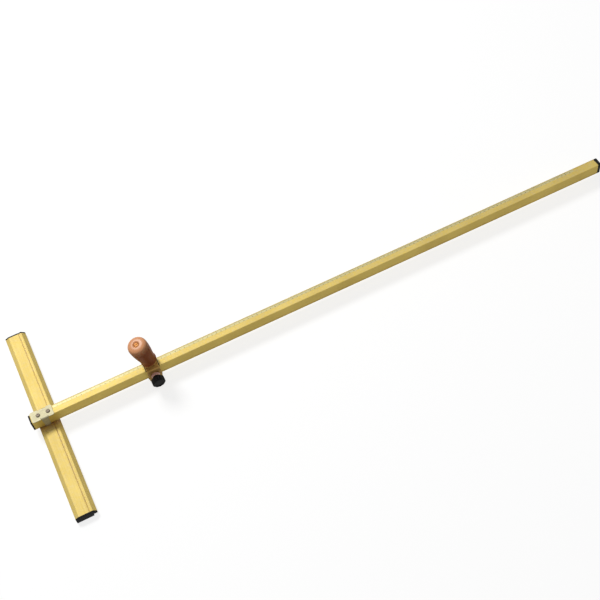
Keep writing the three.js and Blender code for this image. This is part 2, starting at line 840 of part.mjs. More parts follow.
// Stem: a column up the pillar with the oil way and its wick, held by a nut below
function addStem(carriage) {
  const group = new THREE.Group();
  group.position.y = pillarY;
  carriage.add(group);

  const stem = turned([
    [oilWayRadius, stemBottomZ],
    [stemRadius - stemEdge, stemBottomZ],
    [stemRadius, stemBottomZ + stemEdge],
    [stemRadius, stemTopZ],
    [oilWayRadius, stemTopZ],
  ]);
  const socket = prism(
    alongZ,
    circle(spigotRadius + seatGap),
    stemBottomZ - cutOverrun,
    stemBottomZ + stemSocketLength,
  );
  const setScrewZ = stemBottomZ + setScrewHeight;
  const tappedShape = circle(setScrewRadius + seatGap, 0, setScrewZ);
  const tapped = prism(alongX, tappedShape, 0, stemRadius + cutOverrun);
  piece(group, 'cutter_stem', cut(stem, socket, tapped), brass);

  const setScrewStart = spigotRadius + seatGap;
  const setScrewEnd = setScrewStart + setScrewLength;
  const setScrew = prism(alongX, circle(setScrewRadius, 0, setScrewZ), setScrewStart, setScrewEnd);
  piece(group, 'head_set_screw', setScrew, steel);

  const nutTop = -pillarDrop - seatGap;
  const hexagon = polar(nutSides, () => nutAcrossFlats / 2 / Math.cos(Math.PI / nutSides));
  const nut = prism(alongZ, hexagon, nutTop - nutThickness, nutTop, 0, circle(stemBoreRadius));
  piece(group, 'stem_nut', nut, nickel);

  piece(group, 'oil_wick', pin(wickRadius, spigotTopZ + 2 * seatGap, stemTopZ + wickReach), felt);
  addHead(group);
}

// Cutting head: spigot and collar above, a fork below, with the wheel on its pin a little behind the axis
function addHead(stem) {
  const collarBottomZ = headTopZ - headCollarHeight;
  const top = turned([
    [0, collarBottomZ],
    [headCollarRadius - headEdge, collarBottomZ],
    [headCollarRadius, collarBottomZ + headEdge],
    [headCollarRadius, headTopZ - headEdge],
    [headCollarRadius - headEdge, headTopZ],
    [spigotRadius, headTopZ],
    [spigotRadius, spigotTopZ],
    [0, spigotTopZ],
  ]);
  const noseZ = wheelAxisZ - forkNoseRadius;
  const shoulderZ = collarBottomZ - forkShoulderDrop;
  const forkShape = outline([
    [-forkHalfWidth, collarBottomZ + headEdge],
    [-forkHalfWidth, shoulderZ],
    [wheelTrail - forkNoseRadius, noseZ, forkNoseRadius / 2],
    [wheelTrail + forkNoseRadius, noseZ, forkNoseRadius / 2],
    [forkHalfWidth, shoulderZ],
    [forkHalfWidth, collarBottomZ + headEdge],
  ]);
  const fork = prism(alongX, forkShape, -forkThickness / 2, forkThickness / 2);
  const slotSide = wheelThickness / 2 + wheelSideGap;
  const slotTopZ = wheelAxisZ + wheelRadius + seatGap;
  const slot = block(-slotSide, slotSide, -headCollarRadius, headCollarRadius, noseZ - cutOverrun, slotTopZ);
  const reach = forkThickness / 2 + cutOverrun;
  const pinHole = prism(alongX, circle(axleRadius + pinGap, wheelTrail, wheelAxisZ), -reach, reach);
  const oilHole = prism(alongZ, circle(headOilRadius), slotTopZ - cutOverrun, spigotTopZ + cutOverrun);
  piece(stem, 'cutter_head', cut(joined(top, fork), slot, pinHole, oilHole), nickel);

  const axleHalf = forkThickness / 2 - axleInset;
  const axle = prism(alongX, circle(axleRadius), -axleHalf, axleHalf);
  const axleMesh = piece(stem, 'wheel_axle', axle, steel);
  axleMesh.position.set(0, wheelTrail, wheelAxisZ);

  const half = wheelThickness / 2;
  const wheel = turned([
    [axleRadius + pinGap, -half],
    [wheelRadius - wheelBevel, -half],
    [wheelRadius, 0],
    [wheelRadius - wheelBevel, half],
    [axleRadius + pinGap, half],
  ], fineSides);
  const wheelMesh = piece(stem, 'cutting_wheel', wheel, hardMetal);
  wheelMesh.position.set(0, wheelTrail, wheelAxisZ);
  wheelMesh.rotation.y = Math.PI / 2;
}

function addCarriage(parent) {
  const group = new THREE.Group();
  group.position.set(carriageX, 0, rodAxisZ);
  parent.add(group);
  piece(group, 'carriage_body', carriageBody(), paleGold);
  piece(group, 'glide_liner', glideLiner(), nylon);
  addLock(group);
  addHandle(group);
  addStem(group);
}

const cutter = new THREE.Group();
addFence(cutter);
addRod(cutter);
addSaddle(cutter);
addCarriage(cutter);

export default cutter;
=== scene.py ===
"""Looks of the T-shaped glass cutter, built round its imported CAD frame.

Each sub-assembly is a class that holds its sizes in millimetres, builds its meshes and dresses them.
Each finish is a small class that makes one material, and the effects that several finishes share are
shader node groups. Every piece stands where the frame says, in metres.
"""

import logging
import math
from collections.abc import Callable, Mapping, Sequence
from dataclasses import dataclass
from enum import Enum

import bmesh
import bpy
from mathutils import Matrix, Vector


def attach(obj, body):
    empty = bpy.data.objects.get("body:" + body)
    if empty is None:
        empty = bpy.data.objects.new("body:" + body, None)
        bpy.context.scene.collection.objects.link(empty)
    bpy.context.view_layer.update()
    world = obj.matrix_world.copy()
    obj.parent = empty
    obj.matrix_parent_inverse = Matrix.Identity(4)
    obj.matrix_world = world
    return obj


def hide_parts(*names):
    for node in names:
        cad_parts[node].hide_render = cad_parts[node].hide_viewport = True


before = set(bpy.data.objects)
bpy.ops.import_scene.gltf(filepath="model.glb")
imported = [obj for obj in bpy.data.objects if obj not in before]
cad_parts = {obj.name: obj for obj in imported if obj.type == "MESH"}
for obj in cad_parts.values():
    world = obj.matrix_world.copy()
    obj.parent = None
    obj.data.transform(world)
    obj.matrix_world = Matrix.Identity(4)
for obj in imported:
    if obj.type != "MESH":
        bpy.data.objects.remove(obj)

LOG = logging.getLogger("glass_cutter")
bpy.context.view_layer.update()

Piece = bpy.types.Object
Tree = bpy.types.NodeTree
Socket = bpy.types.NodeSocket
Point = tuple[float, float]
Triple = tuple[float, float, float]
Corner = Triple
Colour = Triple
Sockets = Mapping[int | str, object]

# In metres.
MM = 0.001
WELD = 0.00001

# In millimetres.
SAME_PLACE = 0.001
CORNER_TOLERANCE = 0.01
CUT_OVERRUN = 1.0
CARRIAGE_X = 211.0
ROD_MIDDLE_Z = 26.8

# In degrees.
FLAT_DEGREES = 0.5
SHARP_DEGREES = 40
GRIP_LEAN = 10.0

# How finely round forms are made.
FILLET_STEPS = 5
TINY_SIDES = 24
SMALL_SIDES = 48
FINE_SIDES = 96

# Levels of a noise or a relief between 0 and 1, and how dark a relief's valleys are.
WHOLE: Point = (0.0, 1.0)
MIDDLE: Point = (0.3, 0.7)
VALLEY: Point = (0.35, 0.65)
VALLEY_SHADE = 0.4

WHITE: Colour = (1.0, 1.0, 1.0)


class Body(Enum):
    """The bodies of the frame that pieces ride on."""

    FRAME = "frame"
    CARRIAGE = "carriage"
    SHOE = "clamp_shoe"
    KNOB = "lock_knob"
    SEAL = "oil_plug_seal"
    PLUG = "oil_plug"
    HEAD = "cutter_head"
    WHEEL = "cutting_wheel"


class Slot(Enum):
    """The record's material slots, one of which is named with each new piece."""

    GOLD = "gold_anodised"
    CAST = "gold_cast"
    NICKEL = "nickel_plate"
    STEEL = "steel"
    HARD = "hard_metal"
    BRASS = "brass"
    BLACK = "black_plastic"
    KNOB = "knob_plastic"
    WOOD = "lacquered_wood"
    NYLON = "nylon"
    RUBBER = "rubber"


class Cut(Enum):
    """How a tool changes the solid it meets."""

    AWAY = "DIFFERENCE"
    KEEP_SHARED = "INTERSECT"


class Effect(Enum):
    """The shader node groups that more than one finish uses."""

    LONG_GRAIN = "long_grain"
    TURNING = "turning_marks"
    MOULDED = "moulded_grain"
    PATCHES = "patches"
    EDGE_WEAR = "edge_wear"
    HAIRLINES = "hairline_scratches"
    # Painted shade in corners and grooves.
    GRIME = "corner_grime"
    # Dust, and on the gold tops a painted sheen.
    DUST = "settled_dust"


class Board:
    """Adds nodes to one shader node tree and joins them."""

    def __init__(self, tree: Tree) -> None:
        """Starts on a tree."""
        self.tree = tree

    def add(self, kind: str, sockets: Sockets | None = None, **settings: object) -> bpy.types.Node:
        """Adds a node and fills its sockets.

        Args:
            kind: the node's type without its ShaderNode prefix.
            sockets: a number, colour or output for each input by name or place.
            **settings: the node's own properties.

        Returns:
            The new node.
        """
        node = self.tree.nodes.new("ShaderNode" + kind)
        for name, value in settings.items():
            setattr(node, name, value)
        for key, value in (sockets or {}).items():
            self.fill(node.inputs[key], value)
        return node

    def fill(self, target: Socket, value: object) -> None:
        """Joins an output to an input, or writes a plain value into it.

        Args:
            target: the input.
            value: an output socket, a number, a vector or a colour.
        """
        if isinstance(value, Socket):
            self.tree.links.new(value, target)
        elif target.type == "RGBA":
            target.default_value = (*value, 1.0)
        else:
            target.default_value = value

    def maths(self, operation: str, *values: object, clamp: bool = False) -> Socket:
        """A Math node's result."""
        sockets = dict(enumerate(values))
        return self.add("Math", sockets, operation=operation, use_clamp=clamp).outputs[0]

    def weighed(self, first: object, second: object, share: float) -> Socket:
        """Two heights added, the first by its share and the second by the rest."""
        return self.maths("MULTIPLY_ADD", first, share, self.maths("MULTIPLY", second, 1 - share))

    def from_axis(self, x: object, y: object) -> Socket:
        """The distance from the Z axis."""
        return self.maths("SQRT", self.maths("MULTIPLY_ADD", x, x, self.maths("MULTIPLY", y, y)))

    def split(self, vector: object) -> Sequence[Socket]:
        """The X, Y and Z of a vector."""
        return self.add("SeparateXYZ", {0: vector}).outputs

    def scaled(self, vector: object, factors: object) -> Socket:
        """A vector multiplied axis by axis."""
        return self.add("VectorMath", {0: vector, 1: factors}, operation="MULTIPLY").outputs[0]

    def rotated(self, vector: object, turn: Triple) -> Socket:
        """A vector turned about X, Y and Z by angles in radians."""
        sockets = {"Vector": vector, "Rotation": turn}
        return self.add("VectorRotate", sockets, rotation_type="EULER_XYZ").outputs[0]

    def ranged(self, value: object, source: Point, target: Point = WHOLE) -> Socket:
        """A value moved from one range to another and held inside it."""
        return self.add("MapRange", dict(enumerate((value, *source, *target)))).outputs[0]

    def blended(self, share: object, first: object, second: object) -> Socket:
        """Two colours mixed by a share, through the sockets that a Mix node keeps for colours."""
        return self.add("Mix", {0: share, 6: first, 7: second}, data_type="RGBA").outputs[2]

    def noise(self, vector: object, detail: float, scale: float = 1.0) -> Socket:
        """A soft noise between 0 and 1."""
        return self.add("TexNoise", {"Vector": vector, "Scale": scale, "Detail": detail}).outputs[0]

    def effect(self, effect: Effect, sockets: Sockets) -> Socket:
        """The result of one of the shared node groups, which is made at its first use."""
        tree = bpy.data.node_groups.get(effect.value) or EFFECT_MAKERS[effect]()
        return self.add("Group", sockets, node_tree=tree).outputs[0]


class EffectBoard(Board):
    """The inside of one node group, which reads a place on the surface in millimetres."""

    def __init__(self, effect: Effect, output: str, **numbers: float) -> None:
        """Makes the group with its sockets.

        Args:
            effect: the group's name.
            output: the name of its one output.
            **numbers: the names and first values of its number inputs.
        """
        super().__init__(bpy.data.node_groups.new(effect.value, "ShaderNodeTree"))
        sockets = self.tree.interface
        sockets.new_socket("Vector", in_out="INPUT", socket_type="NodeSocketVector")
        for name, value in numbers.items():
            socket = sockets.new_socket(name, in_out="INPUT", socket_type="NodeSocketFloat")
            socket.default_value = value
        sockets.new_socket(output, in_out="OUTPUT", socket_type="NodeSocketFloat")
        self.inputs = self.tree.nodes.new("NodeGroupInput").outputs
        self.result = self.tree.nodes.new("NodeGroupOutput").inputs[0]
        self.place = self.scaled(self.inputs["Vector"], (1 / MM,) * 3)

    def metres(self, name: str) -> Socket:
        """One of the inputs in metres."""
        return self.maths("MULTIPLY", self.inputs[name], MM)

    def over(self, name: str) -> Socket:
        """The surface's place divided by one of the inputs."""
        share = self.maths("DIVIDE", 1.0, self.inputs[name])
        return self.add("VectorMath", {0: self.place, "Scale": share}, operation="SCALE").outputs[0]

    def speckle(self, name: str, detail: float, source: Point, target: Point = WHOLE) -> Socket:
        """A noise as coarse as one of the inputs, moved from one range to another."""
        return self.ranged(self.noise(self.over(name), detail), source, target)

    def facing_up(self, source: Point) -> Socket:
        """How far a face looks up, from none at the first height of its normal to all at the second."""
        return self.ranged(self.split(self.add("NewGeometry").outputs["Normal"])[2], source)

    def finished(self, result: Socket) -> Tree:
        """The group, once its result is joined to its output."""
        self.fill(self.result, result)
        return self.tree


def long_grain() -> Tree:
    """Fine straight lines, as a die or a brush leaves them, along the longest of three lengths.

    Returns:
        The node group.
    """
    board = EffectBoard(Effect.LONG_GRAIN, "Height", LengthX=0.3, LengthY=0.3, LengthZ=0.3)
    parts = zip(board.split(board.place), (board.inputs["Length" + axis] for axis in "XYZ"))
    along = [board.maths("DIVIDE", part, length) for part, length in parts]
    lines = board.add("CombineXYZ", dict(enumerate(along))).outputs[0]
    broad = board.noise(lines, detail=1.0, scale=0.13)
    return board.finished(board.weighed(broad, board.noise(lines, detail=3.0), share=0.4))


def turning_marks() -> Tree:
    """Fine rings round the piece's own Z axis, as a lathe leaves them.

    Returns:
        The node group.
    """
    board = EffectBoard(Effect.TURNING, "Height", Pitch=0.3)
    x, y, z = board.split(board.over("Pitch"))
    along = board.maths("ADD", board.from_axis(x, y), z)
    rings = board.add("TexNoise", {"W": along, "Scale": 1.0, "Detail": 2.0}, noise_dimensions="1D")
    return board.finished(rings.outputs[0])


def moulded_grain() -> Tree:
    """The small even pits of a cast or moulded surface.

    Returns:
        The node group.
    """
    board = EffectBoard(Effect.MOULDED, "Height", Pit=0.4)
    place = board.over("Pit")
    cells = board.add("TexVoronoi", {"Vector": place, "Scale": 1.0}, feature="SMOOTH_F1").outputs[0]
    return board.finished(board.weighed(cells, board.noise(place, detail=3.0, scale=1.7), share=0.6))


def patches() -> Tree:
    """Broad soft patches in which a tone differs a little."""
    board = EffectBoard(Effect.PATCHES, "Share", Size=20.0)
    return board.finished(board.speckle("Size", detail=4.0, source=MIDDLE))


def edge_wear() -> Tree:
    """Edges where the finish has worn thin, broken up along their length.

    Returns:
        The node group.
    """
    board = EffectBoard(Effect.EDGE_WEAR, "Share", Reach=0.4, Break=6.0)
    rounded = board.add("Bevel", {"Radius": board.metres("Reach")}, samples=3).outputs[0]
    plain = board.add("NewGeometry").outputs["Normal"]
    level = board.add("VectorMath", {0: rounded, 1: plain}, operation="DOT_PRODUCT").outputs["Value"]
    edge = board.ranged(level, source=(0.995, 0.88))
    broken = board.speckle("Break", detail=4.0, source=(0.42, 0.62))
    return board.finished(board.maths("MULTIPLY", edge, broken, clamp=True))


def corner_grime() -> Tree:
    """Painted shade that darkens corners and grooves that look up.

    Returns:
        The node group.
    """
    board = EffectBoard(Effect.GRIME, "Share", Reach=14.0, Break=5.0)
    reach = board.metres("Reach")
    openness = board.add("AmbientOcclusion", {"Distance": reach}, samples=8).outputs["AO"]
    corner = board.ranged(openness, source=(0.9, 0.58))
    broken = board.speckle("Break", detail=4.0, source=(0.3, 0.6), target=(0.55, 1.0))
    grime = board.maths("MULTIPLY", corner, broken)
    return board.finished(board.maths("MULTIPLY", grime, board.facing_up(source=(0.2, 0.6))))


def hairline_scratches() -> Tree:
    """Thin stray scratches in two directions.

    Returns:
        The node group.
    """
    board = EffectBoard(Effect.HAIRLINES, "Share", Length=18.0, Width=0.12)
    long, short = (board.maths("DIVIDE", 1.0, board.inputs[name]) for name in ("Length", "Width"))
    factors = board.add("CombineXYZ", {0: long, 1: short, 2: short}).outputs[0]
    marks = []
    for turn in ((0.2, 0.9, 0.5), (-0.7, 0.3, -0.9)):
        lines = board.noise(board.scaled(board.rotated(board.place, turn), factors), detail=1.0)
        marks.append(board.ranged(lines, source=(0.74, 0.82)))
    return board.finished(board.maths("MAXIMUM", *marks))


def settled_dust() -> Tree:
    """Pale grains on the faces that look up: real dust, and on the gold tops a painted sheen.

    Returns:
        The node group.
    """
    board = EffectBoard(Effect.DUST, "Share", Size=5.0)
    grains = board.speckle("Size", detail=8.0, source=(0.35, 0.75))
    return board.finished(board.maths("MULTIPLY", board.facing_up(source=(0.3, 1.0)), grains))


EFFECT_MAKERS: dict[Effect, Callable[[], Tree]] = {
    Effect.LONG_GRAIN: long_grain,
    Effect.TURNING: turning_marks,
    Effect.MOULDED: moulded_grain,
    Effect.PATCHES: patches,
    Effect.EDGE_WEAR: edge_wear,
    Effect.HAIRLINES: hairline_scratches,
    Effect.GRIME: corner_grime,
    Effect.DUST: settled_dust,
}


def cleared(owner: bpy.types.Material | bpy.types.World) -> Board:
    """Empties the nodes of a material or a world.

    Args:
        owner: the material or the world.

    Returns:
        Its node tree, ready for new nodes.
    """
    owner.use_nodes = True
    owner.node_tree.nodes.clear()
    return Board(owner.node_tree)


@dataclass(frozen=True)
class Relief:
    """A fine relief: its node group, the group's sizes and the depth, in millimetres."""

    effect: Effect
    sizes: Sockets
    depth: float


def grained(x: float, y: float, z: float, depth: float) -> Relief:
    """A long grain, from how far it runs along each axis."""
    return Relief(Effect.LONG_GRAIN, {"LengthX": x, "LengthY": y, "LengthZ": z}, depth)


def lathed(pitch: float, depth: float) -> Relief:
    """The marks of a lathe."""
    return Relief(Effect.TURNING, {"Pitch": pitch}, depth)


def pitted(pit: float, depth: float) -> Relief:
    """The pits of a cast or moulded surface."""
    return Relief(Effect.MOULDED, {"Pit": pit}, depth)


@dataclass(frozen=True)
class Finish:
    """One material: two tones in patches, a gloss range, a fine relief, a coat, the marks of use, painted
    shade in corners and a painted sheen mixed into its dust.

    Lengths are in millimetres.
    """

    name: str
    tones: tuple[Colour, Colour]
    gloss: Point
    relief: Relief
    metallic: float = 0.0
    specular: float = 0.5
    coat: float = 0.0
    coat_roughness: float = 0.15
    sheen: float = 0.0
    patch: float = 20.0
    tint: float = 0.12
    wear: float = 0.0
    reach: float = 0.4
    scratches: float = 0.0
    # Real dust, and on the gold tops a painted sheen.
    dust: float = 0.0
    # Painted shade in corners: its amount, reach and colour.
    grime: float = 0.0
    grime_reach: float = 14.0
    lean: float = 0.0
    bare: Colour = (0.78, 0.77, 0.74)
    dust_colour: Colour = (0.55, 0.52, 0.47)
    grime_colour: Colour = (0.2, 0.055, 0.001)

    def material(self) -> bpy.types.Material:
        """The material, made at the first call."""
        return bpy.data.materials.get(self.name) or self.made()

    def made(self) -> bpy.types.Material:
        """Builds the material's nodes.

        Returns:
            The new material.
        """
        material = bpy.data.materials.new(self.name)
        board = cleared(material)
        place = self.place(board)
        relief = board.effect(self.relief.effect, {"Vector": place, **self.relief.sizes})
        depth = self.relief.depth * MM
        bump = board.add("Bump", {"Height": relief, "Strength": 1.0, "Distance": depth})
        shader = board.add("BsdfPrincipled", {
            "Base Color": self.weathered(board, place, self.colour(board, place, relief)),
            "Roughness": board.ranged(relief, MIDDLE, self.gloss),
            "Normal": bump.outputs[0],
            "Metallic": self.metallic,
            "Specular IOR Level": self.specular,
            "Coat Weight": self.coating(board, place),
            "Coat Roughness": self.coat_roughness,
            "Sheen Weight": self.sheen,
        })
        board.add("OutputMaterial", {"Surface": shader.outputs[0]})
        return material

    def place(self, board: Board) -> Socket:
        """The place on the surface, turned upright where the piece's own axis leans.

        Args:
            board: the material's nodes.

        Returns:
            The output socket.
        """
        place = board.add("TexCoord").outputs["Object"]
        if not self.lean:
            return place
        upright = {"Vector": place, "Angle": math.radians(self.lean)}
        return board.add("VectorRotate", upright, rotation_type="Y_AXIS").outputs[0]

    def coating(self, board: Board, place: Socket) -> float | Socket:
        """How much of the clear coat there is, the same all over unless a finish says otherwise."""
        return self.coat

    def colour(self, board: Board, place: Socket, relief: Socket) -> Socket:
        """The clean colour: the two tones in patches, a little darker in the relief's valleys.

        Args:
            board: the material's nodes.
            place: the place on the surface.
            relief: the relief's height.

        Returns:
            The output socket.
        """
        patch = board.effect(Effect.PATCHES, {"Vector": place, "Size": self.patch})
        valley = board.ranged(relief, VALLEY, (self.tint, 0.0))
        dark = tuple(part * VALLEY_SHADE for part in self.tones[0])
        return board.blended(valley, board.blended(patch, *self.tones), dark)

    def weathered(self, board: Board, place: Socket, colour: Socket) -> Socket:
        """The colour after use and painted light: worn edges, scratches, painted shade in corners and
        dust that is partly a painted sheen, each where the finish has it.

        Args:
            board: the material's nodes.
            place: the place on the surface.
            colour: the clean colour.

        Returns:
            The output socket.
        """
        marks = (
            (Effect.EDGE_WEAR, {"Reach": self.reach}, self.wear, self.bare),
            (Effect.HAIRLINES, {}, self.scratches, self.bare),
            # Painted shade in corners.
            (Effect.GRIME, {"Reach": self.grime_reach}, self.grime, self.grime_colour),
            # Dust, partly a painted sheen.
            (Effect.DUST, {}, self.dust, self.dust_colour),
        )
        for effect, sizes, amount, mark_colour in marks:
            if amount:
                share = board.maths("MULTIPLY", board.effect(effect, {"Vector": place, **sizes}), amount)
                colour = board.blended(share, colour, mark_colour)
        return colour


@dataclass(frozen=True)
class TurnedWood(Finish):
    """Lacquered wood turned from one billet whose growth rings lean across the piece.

    Its tones are the early and the late wood of a year. A grain is how often it changes along each
    axis in a millimetre.
    """

    ring: float = 2.6
    heart: Triple = (9.0, 16.0, 0.0)
    tilt: Triple = (0.16, -0.1, 0.0)
    wander: float = 3.2
    wander_grain: Triple = (0.07, 0.07, 0.02)
    late_from: Point = (0.25, 1.0)
    fibre_grain: Triple = (3.0, 3.0, 0.12)
    fibre_share: float = 0.25
    pore_grain: Triple = (6.0, 6.0, 0.35)
    pore_levels: Point = (0.68, 0.78)
    pore_share: float = 0.7
    pore: Colour = (0.50, 0.15, 0.05)
    # Painted shade: the grip darkens from its crown downwards, as if its sides stood in shade.
    stain: Colour = (0.34, 0.06, 0.005)
    stain_share: float = 0.8
    stain_from: Point = (64.0, 51.0)
    polish_from: Point = (66.0, 60.0)
    matt_coat: float = 0.02

    def above(self, board: Board, place: Socket) -> Socket:
        """The height along the turned piece in millimetres."""
        return board.maths("DIVIDE", board.split(place)[2], MM)

    def coating(self, board: Board, place: Socket) -> float | Socket:
        """The lacquer, polished on the crown where the palm rests and matt below it."""
        return board.ranged(self.above(board, place), self.polish_from, (self.coat, self.matt_coat))

    def colour(self, board: Board, place: Socket, relief: Socket) -> Socket:
        """Growth rings round a heart outside the piece, long fibres, fine pores and painted shade that
        darkens the grip below its crown.

        Args:
            board: the material's nodes.
            place: the place on the surface.
            relief: the relief's height; not used.

        Returns:
            The output socket.
        """
        shifted = {0: board.scaled(place, (1 / MM,) * 3), 1: self.heart}
        billet = board.rotated(board.add("VectorMath", shifted, operation="ADD").outputs[0], self.tilt)
        x, y, _ = board.split(billet)
        years = board.maths("DIVIDE", board.from_axis(x, y), self.ring)
        wander = board.noise(board.scaled(billet, self.wander_grain), detail=3.0)
        phase = board.maths("MULTIPLY_ADD", wander, self.wander, years)
        grown = board.ranged(board.maths("FRACT", phase), self.late_from)
        fibres = board.noise(board.scaled(billet, self.fibre_grain), detail=3.0)
        uneven = board.ranged(fibres, MIDDLE, (-self.fibre_share, self.fibre_share))
        late = board.maths("ADD", uneven, grown, clamp=True)
        pores = board.noise(board.scaled(billet, self.pore_grain), detail=1.0)
        dashes = board.ranged(pores, self.pore_levels, (0.0, self.pore_share))
        bare = board.blended(dashes, board.blended(late, *self.tones), self.pore)
        # Painted shade below the crown.
        shade_below = board.ranged(self.above(board, place), self.stain_from, (0.0, self.stain_share))
        return board.blended(shade_below, bare, self.stain)


# Its dust is partly a painted sheen that lightens the faces that look up.
ROD_GOLD = Finish(
    "rod_gold", ((0.69, 0.515, 0.122), (0.78, 0.60, 0.155)), (0.54, 0.68), grained(90, 0.3, 0.3, 0.006),
    metallic=0.6, specular=0.06, coat=0.14, coat_roughness=0.45, patch=60, wear=0.45, reach=0.35,
    scratches=0.2, dust=0.3,
)
# The fence's corner shade is painted shade under and beside the rod, and its dust is partly a painted
# sheen on its tops.
FENCE_GOLD = Finish(
    "fence_gold", ((0.645, 0.485, 0.125), (0.73, 0.56, 0.158)), (0.54, 0.68),
    grained(0.3, 90, 0.3, 0.006), metallic=0.56, specular=0.06, coat=0.14, coat_roughness=0.45,
    patch=50, wear=0.5, reach=0.45, scratches=0.3, grime=0.95, grime_reach=26, dust=0.2,
)
CAST_GOLD = Finish(
    "cast_gold", ((0.50, 0.29, 0.075), (0.61, 0.37, 0.105)), (0.46, 0.62), pitted(0.55, 0.03),
    metallic=0.35, specular=0.15, patch=14, wear=0.4, reach=0.5, scratches=0.2,
)
SATIN_NICKEL = Finish(
    "satin_nickel", ((0.47, 0.435, 0.285), (0.56, 0.515, 0.335)), (0.52, 0.64),
    grained(12, 0.25, 0.25, 0.004), metallic=0.6, specular=0.2, patch=9, scratches=0.3, wear=0.3,
    bare=(0.45, 0.42, 0.38),
)
TURNED_NICKEL = Finish(
    "turned_nickel", ((0.34, 0.32, 0.24), (0.46, 0.43, 0.33)), (0.32, 0.46), lathed(0.25, 0.006),
    metallic=1.0, patch=6, scratches=0.2, wear=0.3, bare=(0.42, 0.39, 0.35),
)
AGED_NICKEL = Finish(
    "aged_nickel", ((0.28, 0.235, 0.175), (0.39, 0.33, 0.245)), (0.5, 0.62), lathed(0.3, 0.006),
    metallic=0.6, specular=0.2, patch=3, scratches=0.25, wear=0.3, bare=(0.42, 0.39, 0.33),
)
TURNED_STEEL = Finish(
    "turned_steel", ((0.36, 0.335, 0.31), (0.48, 0.45, 0.42)), (0.26, 0.44), lathed(0.3, 0.01),
    metallic=1.0, patch=8, scratches=0.2,
)
ROSY_STEEL = Finish(
    "rosy_steel", ((0.48, 0.29, 0.245), (0.60, 0.39, 0.34)), (0.3, 0.46), lathed(0.3, 0.01),
    metallic=0.9, patch=8, scratches=0.2,
)
HARD_METAL = Finish(
    "ground_hard_metal", ((0.14, 0.15, 0.16), (0.2, 0.21, 0.22)), (0.16, 0.3), lathed(0.12, 0.003),
    metallic=1.0, patch=2,
)
TURNED_BRASS = Finish(
    "turned_brass", ((0.40, 0.20, 0.05), (0.52, 0.29, 0.085)), (0.24, 0.42), lathed(0.25, 0.008),
    metallic=0.9, patch=5, scratches=0.25, bare=(0.75, 0.52, 0.22),
)
CAP_PLASTIC = Finish(
    "moulded_black", ((0.010, 0.010, 0.010), (0.015, 0.015, 0.015)), (0.45, 0.62), pitted(0.35, 0.012),
    specular=0.08, patch=9, tint=0.3, wear=0.35, dust=0.05, bare=(0.06, 0.06, 0.058),
)
KNOB_PLASTIC = Finish(
    "knob_black", ((0.008, 0.008, 0.009), (0.012, 0.012, 0.013)), (0.30, 0.44), pitted(0.5, 0.008),
    specular=0.08, patch=8, tint=0.2, wear=0.4, reach=0.6, dust=0.03, bare=(0.05, 0.05, 0.05),
)
PLUG_BRASS = Finish(
    "aged_brass", ((0.46, 0.18, 0.05), (0.58, 0.27, 0.085)), (0.46, 0.60), lathed(0.4, 0.008),
    metallic=0.55, specular=0.2, patch=3, scratches=0.25, lean=GRIP_LEAN, bare=(0.6, 0.36, 0.14),
)
DARK_NYLON = Finish(
    "dark_nylon", ((0.045, 0.036, 0.028), (0.065, 0.053, 0.042)), (0.42, 0.58), pitted(0.5, 0.008),
    specular=0.3, patch=8, dust=0.1,
)
SEAL_RUBBER = Finish(
    "seal_rubber", ((0.018, 0.018, 0.018), (0.028, 0.027, 0.026)), (0.65, 0.85), pitted(0.25, 0.015),
    specular=0.3, patch=4,
)
WICK_FELT = Finish(
    "wick_felt", ((0.60, 0.54, 0.42), (0.70, 0.64, 0.52)), (0.85, 1.0), grained(0.2, 0.2, 3.0, 0.05),
    sheen=0.3, patch=3, tint=0.4,
)
SCALE_STRIP = Finish(
    "scale_strip", ((0.74, 0.65, 0.31), (0.81, 0.73, 0.37)), (0.42, 0.56), grained(60, 0.25, 0.25, 0.003),
    metallic=0.3, specular=0.08, patch=40, scratches=0.2, dust=0.1,
)
SCALE_INK = Finish(
    "scale_ink", ((0.24, 0.18, 0.07), (0.34, 0.27, 0.11)), (0.5, 0.65), pitted(0.2, 0.004),
    specular=0.2, patch=6,
)
GRIP_WOOD = TurnedWood(
    "varnished_hardwood", ((1.0, 0.51, 0.245), (1.0, 0.365, 0.15)), (0.36, 0.48), lathed(0.5, 0.006),
    specular=0.05, coat=0.55, coat_roughness=0.3, scratches=0.12, lean=GRIP_LEAN, bare=(0.9, 0.55, 0.32),
)


def filleted(corners: Sequence[Corner], closed: bool = False, steps: int = FILLET_STEPS) -> list[Point]:
    """Rounds the corners of a line of straight runs.

    Args:
        corners: x, y and fillet radius of each corner, in millimetres.
        closed: whether the last corner joins the first.
        steps: short straight runs in each fillet.

    Returns:
        The points of the rounded line.
    """
    points: list[Point] = []
    for i, (x, y, radius) in enumerate(corners):
        is_end = not closed and i in (0, len(corners) - 1)
        if is_end or radius <= 0:
            points.append((x, y))
            continue
        here = Vector((x, y))
        before = (Vector(corners[i - 1][:2]) - here).normalized()
        after = (Vector(corners[(i + 1) % len(corners)][:2]) - here).normalized()
        half = math.acos(max(-1.0, min(1.0, before.dot(after)))) / 2
        centre = here + (before + after).normalized() * radius / math.sin(half)
        start = here + before * radius / math.tan(half) - centre
        end = here + after * radius / math.tan(half) - centre
        sweep = math.atan2(start.x * end.y - start.y * end.x, start.dot(end))
        for step in range(steps + 1):
            angle = sweep * step / steps
            turned_x = start.x * math.cos(angle) - start.y * math.sin(angle)
            turned_y = start.x * math.sin(angle) + start.y * math.cos(angle)
            points.append((centre.x + turned_x, centre.y + turned_y))
    return points


